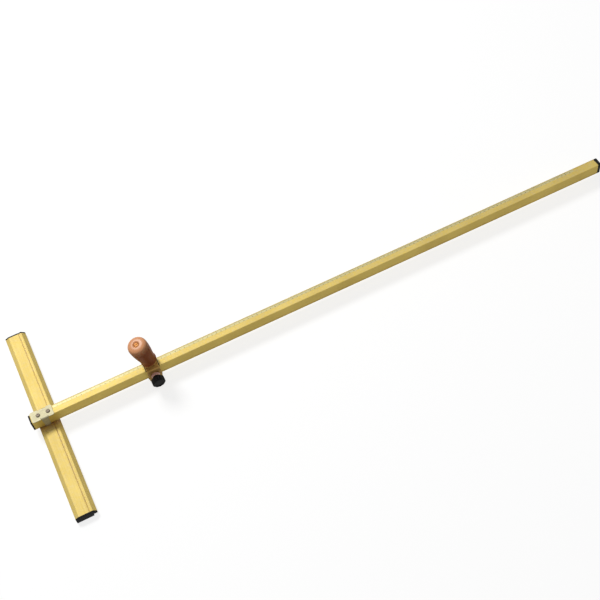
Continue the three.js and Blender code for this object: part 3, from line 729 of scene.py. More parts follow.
def bezier(start: Point, lean: Point, reach: Point, end: Point, steps: int) -> list[Corner]:
    """Points on a curve, without its start.

    Args:
        start: where it begins.
        lean: the point that it first makes for.
        reach: the point that it comes from at its end.
        end: where it ends.
        steps: how many points.

    Returns:
        The points as corners without fillets.
    """
    made = []
    for step in range(1, steps + 1):
        t = step / steps
        shares = ((1 - t) ** 3, 3 * t * (1 - t) ** 2, 3 * t * t * (1 - t), t ** 3)
        x, y = (sum(w * p[i] for w, p in zip(shares, (start, lean, reach, end))) for i in (0, 1))
        made.append((x, y, 0.0))
    return made


def placed(x: float, y: float, z: float, axis: str | None = None) -> Matrix:
    """A place in millimetres, with a quarter turn about an axis where one is named."""
    turn = Matrix.Rotation(math.pi / 2, 4, axis) if axis else Matrix.Identity(4)
    return Matrix.Translation(Vector((x, y, z)) * MM) @ turn


def linked(name: str, data: bpy.types.ID) -> Piece:
    """Puts a mesh, a line of text, a camera or a lamp into the scene.

    Args:
        name: the object's name.
        data: what the object holds.

    Returns:
        The new object.
    """
    piece = bpy.data.objects.new(name, data)
    bpy.context.scene.collection.objects.link(piece)
    return piece


def object_of(name: str, solid: bmesh.types.BMesh, scale: float = MM) -> Piece:
    """Turns a finished solid into an object and frees the solid.

    Args:
        name: the object's name.
        solid: the solid.
        scale: from the solid's unit to metres.

    Returns:
        The new object.
    """
    bmesh.ops.scale(solid, vec=(scale,) * 3, verts=solid.verts)
    bmesh.ops.recalc_face_normals(solid, faces=solid.faces)
    mesh = bpy.data.meshes.new(name)
    solid.to_mesh(mesh)
    solid.free()
    return linked(name, mesh)


def same_radius(_angle: float, radius: float) -> float:
    """The radius of a plain turned piece, the same all round."""
    return radius


def turned(
    name: str,
    profile: Sequence[Point],
    sides: int = SMALL_SIDES,
    shaped: Callable[[float, float], float] = same_radius,
) -> Piece:
    """A turned solid round Z. A profile that starts off the axis is closed into a ring.

    Args:
        name: the object's name.
        profile: radius and height of each point, in millimetres.
        sides: how many sides it has.
        shaped: the radius at an angle, from the profile's radius.

    Returns:
        The new object.
    """
    solid = bmesh.new()
    rings = []
    for radius, height in profile:
        if radius <= SAME_PLACE:
            rings.append([solid.verts.new((0, 0, height))])
            continue
        angles = [2 * math.pi * i / sides for i in range(sides)]
        radii = [shaped(angle, radius) for angle in angles]
        rings.append([
            solid.verts.new((r * math.cos(a), r * math.sin(a), height)) for r, a in zip(radii, angles)
        ])
    followers = rings[1:] + (rings[:1] if profile[0][0] > SAME_PLACE else [])
    for low, high in zip(rings, followers):
        for i in range(sides):
            j = (i + 1) % sides
            quad = (low[i % len(low)], low[j % len(low)], high[j % len(high)], high[i % len(high)])
            unique = list(dict.fromkeys(quad))
            if len(unique) > 2:
                solid.faces.new(unique)
    return object_of(name, solid)


def slab(name: str, low: Triple, high: Triple) -> Piece:
    """A plain block, used as a cutting tool.

    Args:
        name: the object's name.
        low: its lowest corner.
        high: its highest corner.

    Returns:
        The new object.
    """
    solid = bmesh.new()
    bmesh.ops.create_cube(solid, size=1.0)
    size = Vector(high) - Vector(low)
    bmesh.ops.scale(solid, vec=size, verts=solid.verts)
    bmesh.ops.translate(solid, vec=(Vector(high) + Vector(low)) / 2, verts=solid.verts)
    return object_of(name, solid)


def settled(piece: Piece) -> Piece:
    """Applies the piece's modifiers to its mesh.

    Args:
        piece: the piece.

    Returns:
        The same piece.
    """
    graph = bpy.context.evaluated_depsgraph_get()
    mesh = bpy.data.meshes.new_from_object(piece.evaluated_get(graph))
    spent = piece.data
    piece.modifiers.clear()
    piece.data = mesh
    bpy.data.meshes.remove(spent)
    mesh.name = piece.name
    return piece


def carved(piece: Piece, *tools: Piece, cut: Cut = Cut.AWAY) -> Piece:
    """Cuts a piece with tools, which are used up.

    Args:
        piece: the piece.
        *tools: closed solids in the same frame.
        cut: what a tool leaves.

    Returns:
        The same piece.
    """
    for tool in tools:
        modifier = piece.modifiers.new("carve", "BOOLEAN")
        modifier.operation = cut.value
        modifier.solver = "EXACT"
        modifier.object = tool
    settled(piece)
    for tool in tools:
        spent = tool.data
        bpy.data.objects.remove(tool)
        bpy.data.meshes.remove(spent)
    return piece


def eased(piece: Piece, width: float, segments: int = 3) -> Piece:
    """Rounds every sharp edge a little.

    Args:
        piece: the piece.
        width: the rounding's width in millimetres.
        segments: how fine it is.

    Returns:
        The same piece.
    """
    modifier = piece.modifiers.new("ease", "BEVEL")
    modifier.width = width * MM
    modifier.segments = segments
    modifier.limit_method = "ANGLE"
    modifier.angle_limit = math.radians(SHARP_DEGREES)
    return settled(piece)


def shaded(piece: Piece, degrees: float = SHARP_DEGREES) -> Piece:
    """Shades a piece smooth up to an angle, with its flat faces kept flat.

    Args:
        piece: the piece.
        degrees: edges sharper than this stay sharp.

    Returns:
        The same piece.
    """
    mesh = piece.data
    mesh.polygons.foreach_set("use_smooth", [True] * len(mesh.polygons))
    mesh.set_sharp_from_angle(angle=math.radians(degrees))
    modifier = piece.modifiers.new("flat_faces", "WEIGHTED_NORMAL")
    modifier.keep_sharp = True
    return piece


def from_cad(name: str, node: str) -> Piece:
    """A clean copy of a CAD node, welded and with its flat faces whole.

    Args:
        name: the copy's name.
        node: the CAD node.

    Returns:
        The new object.
    """
    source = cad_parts[node].data
    solid = bmesh.new()
    points = [solid.verts.new(vertex.co) for vertex in source.vertices]
    for polygon in source.polygons:
        solid.faces.new([points[i] for i in polygon.vertices])
    bmesh.ops.remove_doubles(solid, verts=solid.verts, dist=WELD)
    bmesh.ops.dissolve_limit(
        solid, angle_limit=math.radians(FLAT_DEGREES), verts=solid.verts, edges=solid.edges
    )
    return object_of(name, solid, 1.0)


def eased_copy(name: str, node: str, width: float, segments: int = 3) -> Piece:
    """A shaded copy of a CAD node whose sharp edges are rounded a little."""
    return shaded(eased(from_cad(name, node), width, segments))


def softened(piece: Piece, grid: float, rounds: int) -> Piece:
    """Gives a solid the rounded edges and hollow corners of a casting.

    Args:
        piece: the piece.
        grid: the size of its new faces in millimetres.
        rounds: how often it is smoothed.

    Returns:
        The same piece.
    """
    remesh = piece.modifiers.new("grid", "REMESH")
    remesh.mode = "VOXEL"
    remesh.voxel_size = grid * MM
    smooth = piece.modifiers.new("smooth", "SMOOTH")
    smooth.factor = 0.5
    smooth.iterations = rounds
    return settled(piece)


def install(piece: Piece, body: Body, finish: Finish, slot: Slot, *stands_for: str) -> None:
    """Dresses a piece and puts it on its body.

    Args:
        piece: the piece, in place.
        body: the body that carries it.
        finish: its material.
        slot: the record's slot that the finish belongs to; not used.
        *stands_for: the CAD nodes that it replaces.
    """
    piece.data.materials.clear()
    piece.data.materials.append(finish.material())
    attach(piece, body.value)
    if stands_for:
        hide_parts(*stands_for)
    LOG.info("piece %s on %s, %d faces", piece.name, body.value, len(piece.data.polygons))


def dress(node: str, finish: Finish) -> None:
    """Gives a CAD node that stays as it is its material.

    Args:
        node: the CAD node.
        finish: its material.
    """
    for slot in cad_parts[node].material_slots:
        slot.material = finish.material()
    LOG.info("node %s keeps its shape", node)


@dataclass
class Fence:
    """The hollow fence that follows the edge of the glass, its end caps and the nut bar inside."""

    edge: float = 0.14
    cap_edge: float = 0.3

    def build(self) -> None:
        """Builds and dresses the fence."""
        bar = eased_copy("fence_extrusion", "fence", self.edge, segments=2)
        install(bar, Body.FRAME, FENCE_GOLD, Slot.GOLD, "fence")
        for side in ("left", "right"):
            cap = eased_copy(f"fence_end_{side}", f"fence_cap_{side}", self.cap_edge)
            install(cap, Body.FRAME, CAP_PLASTIC, Slot.BLACK, f"fence_cap_{side}")
        dress("nut_bar", TURNED_STEEL)


@dataclass
class GuideRod:
    """The long hollow rod with its stoppers and the printed scale in the recess along its top."""

    edge: float = 0.14
    corner: float = 1.1
    corner_steps: int = 5
    half_width: float = 10.0
    levels: Point = (13.3, 40.3)
    cap_edge: float = 0.5
    recess_z: float = 39.9
    strip_low: Point = (6.0, 2.5)
    strip_high: Point = (1196.0, 8.3)
    strip_rise: float = 0.1
    ticks_y: float = 8.1
    tick_width: float = 0.14
    ink_rise: float = 0.03
    ink_sink: float = 0.02
    tick_lengths: Triple = (1.5, 2.2, 2.9)
    first_tick: int = 30
    last_tick: int = 1200
    reading_edge: float = 14.8
    digit_height: float = 2.1
    font_factor: float = 1.4
    digit_y: float = 3.0
    digit_step: float = 1.25

    def build(self) -> None:
        """Builds and dresses the rod."""
        bar = from_cad("rod_extrusion", "guide_rod")
        self.round_corners(bar)
        install(shaded(eased(bar, self.edge, segments=2)), Body.FRAME, ROD_GOLD, Slot.GOLD, "guide_rod")
        for name, node in (("rod_end_far", "rod_far_cap"), ("rod_end_near", "rod_near_plug")):
            cap = eased_copy(name, node, self.cap_edge)
            install(cap, Body.FRAME, CAP_PLASTIC, Slot.BLACK, node)
        install(self.strip(), Body.FRAME, SCALE_STRIP, Slot.GOLD)
        install(self.ticks(), Body.FRAME, SCALE_INK, Slot.GOLD)
        install(self.numbers(), Body.FRAME, SCALE_INK, Slot.GOLD)

    def round_corners(self, bar: Piece) -> None:
        """Rounds the four long outer corners of the extrusion.

        Args:
            bar: the rod.
        """
        solid = bmesh.new()
        solid.from_mesh(bar.data)
        corners = [
            edge for edge in solid.edges if all(self.on_corner(vertex.co / MM) for vertex in edge.verts)
        ]
        bmesh.ops.bevel(
            solid,
            geom=corners,
            offset=self.corner * MM,
            segments=self.corner_steps,
            affect="EDGES",
            profile=0.5,
        )
        solid.to_mesh(bar.data)
        solid.free()

    def on_corner(self, place: Vector) -> bool:
        """Whether a point in millimetres lies on one of the long outer corners."""
        across = abs(abs(place.y) - self.half_width) < CORNER_TOLERANCE
        return across and any(abs(place.z - level) < CORNER_TOLERANCE for level in self.levels)

    def strip(self) -> Piece:
        """The pale strip in the recess that carries the scale.

        Returns:
            The new object.
        """
        bottom, top = self.recess_z - self.ink_sink, self.recess_z + self.strip_rise
        piece = slab("scale_strip", (*self.strip_low, bottom), (*self.strip_high, top))
        return shaded(eased(piece, self.strip_rise / 3, segments=2))

    def ticks(self) -> Piece:
        """One thin bar for each millimetre, longer at each five and ten.

        Returns:
            The new object.
        """
        solid = bmesh.new()
        for value in range(self.first_tick, self.last_tick + 1):
            length = self.tick_lengths[2 if value % 10 == 0 else 1 if value % 5 == 0 else 0]
            middle = (value - self.reading_edge, self.ticks_y - length / 2, self.ink_level())
            size = (self.tick_width, length, self.ink_rise + self.ink_sink)
            matrix = Matrix.LocRotScale(Vector(middle), None, Vector(size))
            bmesh.ops.create_cube(solid, size=1.0, matrix=matrix)
        return object_of("scale_ticks", solid)

    def ink_level(self) -> float:
        """The height of the middle of the ink's thickness."""
        return self.recess_z + self.strip_rise + (self.ink_rise - self.ink_sink) / 2

    def digits(self) -> list[bpy.types.Mesh]:
        """The ten figures as thin solids.

        Returns:
            Their meshes, from 0 to 9.
        """
        meshes = []
        for figure in range(10):
            words = bpy.data.curves.new(f"figure_{figure}", "FONT")
            words.body = str(figure)
            words.size = self.digit_height * self.font_factor
            words.extrude = (self.ink_rise + self.ink_sink) / 2
            words.resolution_u = 2
            words.align_x = "CENTER"
            holder = linked(f"figure_{figure}", words)
            graph = bpy.context.evaluated_depsgraph_get()
            meshes.append(bpy.data.meshes.new_from_object(holder.evaluated_get(graph)))
            bpy.data.objects.remove(holder)
            bpy.data.curves.remove(words)
        return meshes

    def numbers(self) -> Piece:
        """The centimetres in figures beside every tenth tick.

        Returns:
            The new object.
        """
        figures = self.digits()
        solid = bmesh.new()
        for value in range(self.first_tick, self.last_tick + 1, 10):
            text = str(value // 10)
            for place, figure in enumerate(text):
                start = len(solid.verts)
                solid.from_mesh(figures[int(figure)])
                solid.verts.ensure_lookup_table()
                offset = (place - (len(text) - 1) / 2) * self.digit_step
                shift = Vector((value - self.reading_edge + offset, self.digit_y, self.ink_level()))
                bmesh.ops.translate(solid, vec=shift, verts=solid.verts[start:])
        bmesh.ops.remove_doubles(solid, verts=solid.verts, dist=SAME_PLACE)
        for mesh in figures:
            bpy.data.meshes.remove(mesh)
        return object_of("scale_numbers", solid)


@dataclass
class Saddle:
    """The pressed plate over the rod with an ear bent down each side, and its two screws."""

    start_x: float = -39.7
    end_x: float = 4.3
    corner: float = 3.0
    thickness: float = 1.6
    half_width: float = 11.9
    top_z: float = 42.2
    bend: float = 1.6
    ear_x: float = -15.25
    ear_half: float = 7.0
    ear_taper: float = 1.5
    ear_foot_z: float = 13.8
    ear_corner: float = 2.5
    slit: float = 0.9
    bend_steps: int = 7
    edge: float = 0.3
    screw_x: Point = (-25.5, -5.0)
    hole: float = 2.3
    head_radius: float = 4.2
    head_base: float = 42.5
    head_height: float = 2.6
    head_side: float = 0.9
    crown_inset: float = 1.1
    crown_drop: float = 0.25
    tip_z: float = 4.7
    shank: float = 2.0
    cross_reach: float = 2.3
    cross_width: float = 0.9
    cross_depth: float = 1.4

    def build(self) -> None:
        """Builds and dresses the saddle and its screws."""
        install(self.plate(), Body.FRAME, SATIN_NICKEL, Slot.NICKEL, "rod_saddle")
        for name, x in zip(("outer", "inner"), self.screw_x):
            screw = self.screw(f"pan_screw_{name}", x)
            install(screw, Body.FRAME, AGED_NICKEL, Slot.NICKEL, f"saddle_screw_{name}")

    def plate(self) -> Piece:
        """Cuts the flat blank, bends its ears down, gives it thickness and drills it.

        Returns:
            The new object.
        """
        fold = self.half_width - self.thickness / 2 - self.bend
        arc = math.pi / 2 * self.bend
        drop = self.top_z - self.thickness / 2 - self.bend - self.ear_foot_z
        solid = bmesh.new()
        solid.faces.new([solid.verts.new((x, s, 0)) for x, s in self.blank(fold, fold + arc + drop)])
        for step in range(self.bend_steps + 1):
            for side in (1, -1):
                place = side * (fold + arc * step / self.bend_steps)
                bmesh.ops.bisect_plane(
                    solid,
                    geom=solid.verts[:] + solid.edges[:] + solid.faces[:],
                    plane_co=(0, place, 0),
                    plane_no=(0, 1, 0),
                )
        for vertex in solid.verts:
            vertex.co = self.bent(vertex.co, fold, arc)
        piece = object_of("pressed_saddle", solid)
        thick = piece.modifiers.new("sheet", "SOLIDIFY")
        thick.thickness = self.thickness * MM
        thick.offset = 0.0
        thick.use_even_offset = True
        settled(piece)
        low, high = self.top_z - self.thickness - CUT_OVERRUN, self.top_z + CUT_OVERRUN
        drills = []
        for x in self.screw_x:
            drill = turned("drill", [(0, low), (self.hole, low), (self.hole, high), (0, high)])
            drill.location.x = x * MM
            drills.append(drill)
        return shaded(eased(carved(piece, *drills), self.edge))

    def blank(self, fold: float, reach: float) -> list[Point]:
        """The outline of the flat blank, with a slit beside each ear.

        Args:
            fold: where the bend begins.
            reach: where the ear ends.

        Returns:
            Its points along X and across the rod.
        """
        ear_low, ear_high = self.ear_x - self.ear_half, self.ear_x + self.ear_half
        one_side = [
            (self.end_x, self.half_width, self.corner),
            (ear_high + self.slit, self.half_width, 0),
            (ear_high + self.slit, fold - self.slit, 0),
            (ear_high, fold - self.slit, 0),
            (ear_high - self.ear_taper, reach, self.ear_corner),
            (ear_low + self.ear_taper, reach, self.ear_corner),
            (ear_low, fold - self.slit, 0),
            (ear_low - self.slit, fold - self.slit, 0),
            (ear_low - self.slit, self.half_width, 0),
            (self.start_x, self.half_width, self.corner),
        ]
        other_side = [(x, -s, radius) for x, s, radius in reversed(one_side)]
        return filleted(one_side + other_side, closed=True)

    def bent(self, flat: Vector, fold: float, arc: float) -> Vector:
        """Where a point of the blank goes when its ear is bent down.

        Args:
            flat: the point on the blank.
            fold: where the bend begins.
            arc: the length of the bend.

        Returns:
            The point in space.
        """
        level = self.top_z - self.thickness / 2
        past = abs(flat.y) - fold
        if past <= 0 or abs(flat.x - self.ear_x) > self.ear_half + self.slit / 2:
            return Vector((flat.x, flat.y, level))
        side = math.copysign(1, flat.y)
        angle = min(past, arc) / self.bend
        y = fold + self.bend * math.sin(angle)
        z = level - self.bend * (1 - math.cos(angle)) - max(past - arc, 0)
        return Vector((flat.x, side * y, z))

    def screw(self, name: str, x: float) -> Piece:
        """A pan head screw with a cross recess.

        Args:
            name: the object's name.
            x: where it stands along the rod.

        Returns:
            The new object.
        """
        top = self.head_base + self.head_height
        profile = filleted([
            (0, self.tip_z, 0),
            (self.shank, self.tip_z, 0.5),
            (self.shank, self.head_base, 0),
            (self.head_radius, self.head_base, 0.3),
            (self.head_radius, self.head_base + self.head_side, 0.4),
            (self.head_radius - self.crown_inset, top - self.crown_drop, 1.3),
            (0, top, 0),
        ])
        piece = turned(name, profile)
        reach, side = self.cross_reach, self.cross_width / 2
        floor, over = top - self.cross_depth, top + CUT_OVERRUN
        carved(
            piece,
            slab("cross_x", (-reach, -side, floor), (reach, side, over)),
            slab("cross_y", (-side, -reach, floor), (side, reach, over)),
        )
        piece.location.x = x * MM
        return shaded(piece)


@dataclass
class Carriage:
    """The cast sleeve with its pillar and leaning seat, and the nylon shell that glides on the rod."""

    grid: float = 0.45
    rounds: int = 6
    crease: float = 75.0
    liner_edge: float = 0.2

    def build(self) -> None:
        """Builds and dresses the carriage."""
        casting = softened(from_cad("carriage_casting", "carriage_body"), self.grid, self.rounds)
        install(shaded(casting, self.crease), Body.CARRIAGE, CAST_GOLD, Slot.CAST, "carriage_body")
        liner = eased_copy("glide_shell", "glide_liner", self.liner_edge)
        install(liner, Body.CARRIAGE, DARK_NYLON, Slot.NYLON, "glide_liner")


@dataclass
class Lock:
    """The knob, its screw and bush and the brass shoe that holds the carriage on the rod.

    Its own Z axis points out of the carriage's front, from the rod's centre line.
    """

    x: float = CARRIAGE_X
    z: float = ROD_MIDDLE_Z
    bush_inner: float = 15.6
    bush_seat: float = 17.6
    bush_bore: float = 3.3
    bush_radius: float = 5.2
    flange_radius: float = 9.0
    flange_end: float = 19.6
    collar_radius: float = 7.4
    collar_end: float = 22.6
    hub_start: float = 22.9
    hub_radius: float = 7.8
    hub_flare: float = 10.5
    face_start: float = 27.9
    face_end: float = 39.9
    face_inset: float = 0.7
    radius: float = 13.5
    sides: int = 200
    round_over: float = 1.9
    flutes: int = 10
    flute_depth: float = 1.4
    flute_margin: float = 0.6
    flute_sharpness: int = 3
    dish_radius: float = 9.5
    dish_slope: float = 0.5
    dish_depth: float = 1.0
    line_radius: float = 7.0
    line_half: float = 0.3
    line_depth: float = 0.3
    bore: float = 3.3
    bore_end: float = 34.2
    shoe_edge: float = 0.4

    def build(self) -> None:
        """Builds and dresses the lock."""
        bush, knob = shaded(self.bush()), shaded(self.knob())
        bush.matrix_world = knob.matrix_world = placed(self.x, 0, self.z, "X")
        install(bush, Body.CARRIAGE, ROSY_STEEL, Slot.STEEL, "lock_bush")
        install(knob, Body.KNOB, KNOB_PLASTIC, Slot.KNOB, "lock_knob")
        shoe = eased_copy("brass_shoe", "clamp_shoe", self.shoe_edge)
        install(shoe, Body.SHOE, TURNED_BRASS, Slot.BRASS, "clamp_shoe")
        dress("lock_screw", TURNED_STEEL)

    def bush(self) -> Piece:
        """The flanged bush with its collar.

        Returns:
            The new object.
        """
        return turned("flanged_bush", filleted([
            (self.bush_bore, self.bush_inner, 0.3),
            (self.bush_radius, self.bush_inner, 0.3),
            (self.bush_radius, self.bush_seat, 0),
            (self.flange_radius, self.bush_seat, 0.2),
            (self.flange_radius, self.flange_end, 0.5),
            (self.collar_radius, self.flange_end, 0.3),
            (self.collar_radius, self.collar_end, 0.5),
            (self.bush_bore, self.collar_end, 0.3),
        ], closed=True, steps=3), FINE_SIDES)

    def fluted(self, angle: float, radius: float) -> float:
        """The radius of the knob with its finger hollows.

        Args:
            angle: the place round the knob.
            radius: the radius without hollows.

        Returns:
            The radius there.
        """
        fade = self.radius - self.hub_flare - self.flute_margin
        share = max(0.0, min(1.0, (radius - self.hub_flare) / fade))
        valley = ((1 + math.cos(self.flutes * angle)) / 2) ** self.flute_sharpness
        return radius - self.flute_depth * valley * share * share * (3 - 2 * share)

    def knob(self) -> Piece:
        """The fluted knob with a dished face, a line turned in it and a blind bore for the screw.

        Returns:
            The new object.
        """
        floor = self.face_end - self.dish_depth
        profile = filleted([
            (0, self.bore_end, 0),
            (self.bore, self.bore_end, 0),
            (self.bore, self.hub_start, 0),
            (self.hub_radius, self.hub_start, 0.5),
            (self.hub_flare, self.face_start, 0.8),
            (self.radius - self.face_inset, self.face_start, 0.5),
            (self.radius, self.face_start + self.round_over, 1.0),
            (self.radius, self.face_end - self.round_over, 1.4),
            (self.radius - self.round_over, self.face_end, 1.4),
            (self.dish_radius + self.dish_slope, self.face_end, 0.3),
            (self.dish_radius, floor, 0.4),
            (self.line_radius + self.line_half, floor, 0.1),
            (self.line_radius, floor - self.line_depth, 0.1),
            (self.line_radius - self.line_half, floor, 0.1),
            (0, floor, 0),
        ], steps=4)
        return turned("fluted_knob", profile, self.sides, self.fluted)


@dataclass
class Handle:
    """The leaning turned grip with the filler plug of its oil reservoir.

    Its own Z axis is the grip's axis, from the middle of the seat.
    """

    x: float = CARRIAGE_X
    y: float = 6.5
    seat_z: float = 49.392
    lean: float = GRIP_LEAN
    base: float = 0.3
    top: float = 68.29
    neck: float = 16.2
    waist: float = 15.2
    waist_z: float = 16.3
    belly: float = 19.8
    belly_z: float = 32.3
    bead: float = 4.0
    bead_swell: float = 0.25
    bead_step: Point = (0.6, 0.25)
    shoulder: float = 57.3
    rim: float = 7.5
    rim_drop: float = 0.9
    lip_depth: float = 4.0
    bore: float = 5.3
    curve_steps: int = 22
    plug_top: float = 67.7
    plug_base: float = 65.7
    plug_radius: float = 4.7
    shank_radius: float = 2.9
    shank_end: float = 60.7
    slot_width: float = 1.1
    slot_depth: float = 0.9
    seal_top: float = 65.4
    seal_base: float = 64.5
    seal_bore: float = 3.2

    def build(self) -> None:
        """Builds and dresses the handle."""
        seat = Vector((self.x, self.y, self.seat_z)) * MM
        tilt = Matrix.Rotation(-math.radians(self.lean), 4, "Y")
        pieces = (
            (self.grip(), Body.CARRIAGE, GRIP_WOOD, Slot.WOOD, "handle_grip"),
            (self.plug(), Body.PLUG, PLUG_BRASS, Slot.BRASS, "oil_plug"),
            (self.seal(), Body.SEAL, SEAL_RUBBER, Slot.RUBBER, "oil_plug_seal"),
        )
        for piece, body, finish, slot, node in pieces:
            piece.data.transform(tilt)
            piece.location = seat
            install(shaded(piece), body, finish, slot, node)
        dress("oil_tube", TURNED_BRASS)
        dress("oil_wick", WICK_FELT)

    def grip(self) -> Piece:
        """The turned grip: a bead at the neck, a round belly, a crown and a dished rim.

        Returns:
            The new object.
        """
        bead_top = self.base + self.bead
        step_in, step_up = self.bead_step
        corners = [
            (self.bore, self.base, 0),
            (self.neck, self.base, 0.7),
            (self.neck + self.bead_swell, self.base + self.bead / 2, 1.2),
            (self.neck, bead_top, 0.7),
            (self.neck - step_in, bead_top + step_up, 0),
        ]
        corners += bezier(
            corners[-1][:2],
            (self.waist, self.waist_z),
            (self.belly, self.belly_z),
            (self.belly, self.shoulder),
            self.curve_steps,
        )
        middle = (self.shoulder + self.top) / 2
        corners += bezier(
            (self.belly, self.shoulder),
            (self.belly, middle + self.bead),
            ((self.belly + self.rim) / 2 + self.bead / 2, self.top),
            (self.rim, self.top),
            self.curve_steps,
        )
        dish = self.top - self.rim_drop
        corners[-1:] = [
            (self.rim, self.top, 0.5),
            (self.bore, dish, 0.2),
            (self.bore, dish - self.lip_depth, 0),
        ]
        return turned("turned_grip", filleted(corners, closed=True), FINE_SIDES)

    def plug(self) -> Piece:
        """The slotted filler plug.

        Returns:
            The new object.
        """
        piece = turned("slotted_plug", filleted([
            (0, self.shank_end, 0),
            (self.shank_radius, self.shank_end, 0.5),
            (self.shank_radius, self.plug_base, 0),
            (self.plug_radius, self.plug_base, 0.2),
            (self.plug_radius, self.plug_top, 0.5),
            (0, self.plug_top, 0),
        ]), FINE_SIDES)
        reach, side = self.plug_radius + CUT_OVERRUN, self.slot_width / 2
        slot = slab(
            "slot",
            (-reach, -side, self.plug_top - self.slot_depth),
            (reach, side, self.plug_top + CUT_OVERRUN),
        )
        return carved(piece, slot)

    def seal(self) -> Piece:
        """The rubber washer under the plug.

        Returns:
            The new object.
        """
        return turned("plug_seal", filleted([
            (self.seal_bore, self.seal_base, 0.3),
            (self.plug_radius, self.seal_base, 0.3),
            (self.plug_radius, self.seal_top, 0.3),
            (self.seal_bore, self.seal_top, 0.3),
        ], closed=True, steps=4))


@dataclass
class Cutter:
    """The brass column under the handle with its nut, the forked head and the cutting wheel.

    Its own Z axis is the column's, level with the rod's centre line at zero.
    """

    x: float = CARRIAGE_X
    y: float = 22.3
    z: float = ROD_MIDDLE_Z
    stem_radius: float = 4.7
    stem_bottom: float = -11.6
    stem_top: float = 17.6
    oil_way: float = 1.4
    socket: float = 2.9
    socket_top: float = -2.1
    ring_z: float = -7.6
    ring: float = 0.3
    drill_rise: float = 2.4
    drill_radius: float = 1.5
    nut_top: float = -1.3
    nut_bottom: float = -6.3
    nut_flats: float = 14.0
    nut_bore: float = 5.0
    nut_inset: float = 0.2
    nut_chamfer: float = 0.96
    nut_edge: float = 0.12
    nut_crease: float = 20.0
    head_edge: float = 0.25
    wheel_y: float = 0.8
    wheel_z: float = -21.0
    wheel_radius: float = 2.8
    wheel_half: float = 0.55
    wheel_bevel: float = 0.23
    wheel_bore: float = 0.78

    def build(self) -> None:
        """Builds and dresses the cutter."""
        stem, nut, wheel = shaded(self.stem()), self.nut(), shaded(self.wheel())
        stem.matrix_world = nut.matrix_world = placed(self.x, self.y, self.z)
        wheel.matrix_world = placed(self.x, self.y + self.wheel_y, self.z + self.wheel_z, "Y")
        install(stem, Body.CARRIAGE, TURNED_BRASS, Slot.BRASS, "cutter_stem")
        install(nut, Body.CARRIAGE, TURNED_NICKEL, Slot.NICKEL, "stem_nut")
        head = eased_copy("forked_head", "cutter_head", self.head_edge, segments=2)
        install(head, Body.HEAD, TURNED_NICKEL, Slot.NICKEL, "cutter_head")
        install(wheel, Body.WHEEL, HARD_METAL, Slot.HARD, "cutting_wheel")
        for node in ("head_set_screw", "wheel_axle"):
            dress(node, TURNED_STEEL)

    def stem(self) -> Piece:
        """The column with its socket, oil way, a turned line below the nut and the set screw's hole.

        Returns:
            The new object.
        """
        piece = turned("oil_column", filleted([
            (self.socket, self.stem_bottom, 0.2),
            (self.stem_radius, self.stem_bottom, 0.5),
            (self.stem_radius, self.ring_z - self.ring, 0),
            (self.stem_radius - self.ring, self.ring_z, 0),
            (self.stem_radius, self.ring_z + self.ring, 0),
            (self.stem_radius, self.stem_top, 0.5),
            (self.oil_way, self.stem_top, 0.2),
            (self.oil_way, self.socket_top, 0),
            (self.socket, self.socket_top, 0),
        ], closed=True, steps=3))
        reach, radius = self.stem_radius + CUT_OVERRUN, self.drill_radius
        drill = turned("drill", [(0, 0), (radius, 0), (radius, reach), (0, reach)], TINY_SIDES)
        drill.matrix_world = placed(0, 0, self.stem_bottom + self.drill_rise, "Y")
        return carved(piece, drill)

    def nut(self) -> Piece:
        """The hexagon nut with turned chamfers.

        Returns:
            The new object.
        """
        corner = self.nut_flats / 2 / math.cos(math.pi / 6)
        face, past = self.nut_flats / 2 - self.nut_inset, corner + self.nut_inset
        low, high = self.nut_bottom - CUT_OVERRUN, self.nut_top + CUT_OVERRUN
        blank = turned("chamfered_nut", [
            (self.nut_bore, self.nut_bottom),
            (corner, self.nut_bottom),
            (corner, self.nut_top),
            (self.nut_bore, self.nut_top),
        ], sides=6)
        cone = turned("cone", [
            (0, self.nut_bottom),
            (face, self.nut_bottom),
            (past, self.nut_bottom + self.nut_chamfer),
            (past, self.nut_top - self.nut_chamfer),
            (face, self.nut_top),
            (0, self.nut_top),
        ], FINE_SIDES)
        bore = turned("bore", [(0, low), (self.nut_bore, low), (self.nut_bore, high), (0, high)])
        carved(blank, cone, cut=Cut.KEEP_SHARED)
        return shaded(eased(carved(blank, bore), self.nut_edge, segments=2), self.nut_crease)

    def wheel(self) -> Piece:
        """The cutting wheel with its two ground bevels.

        Returns:
            The new object.
        """
        return turned("ground_wheel", [
            (self.wheel_bore, -self.wheel_half),
            (self.wheel_radius - self.wheel_bevel, -self.wheel_half),
            (self.wheel_radius, 0),
            (self.wheel_radius - self.wheel_bevel, self.wheel_half),
            (self.wheel_bore, self.wheel_half),
        ], FINE_SIDES)


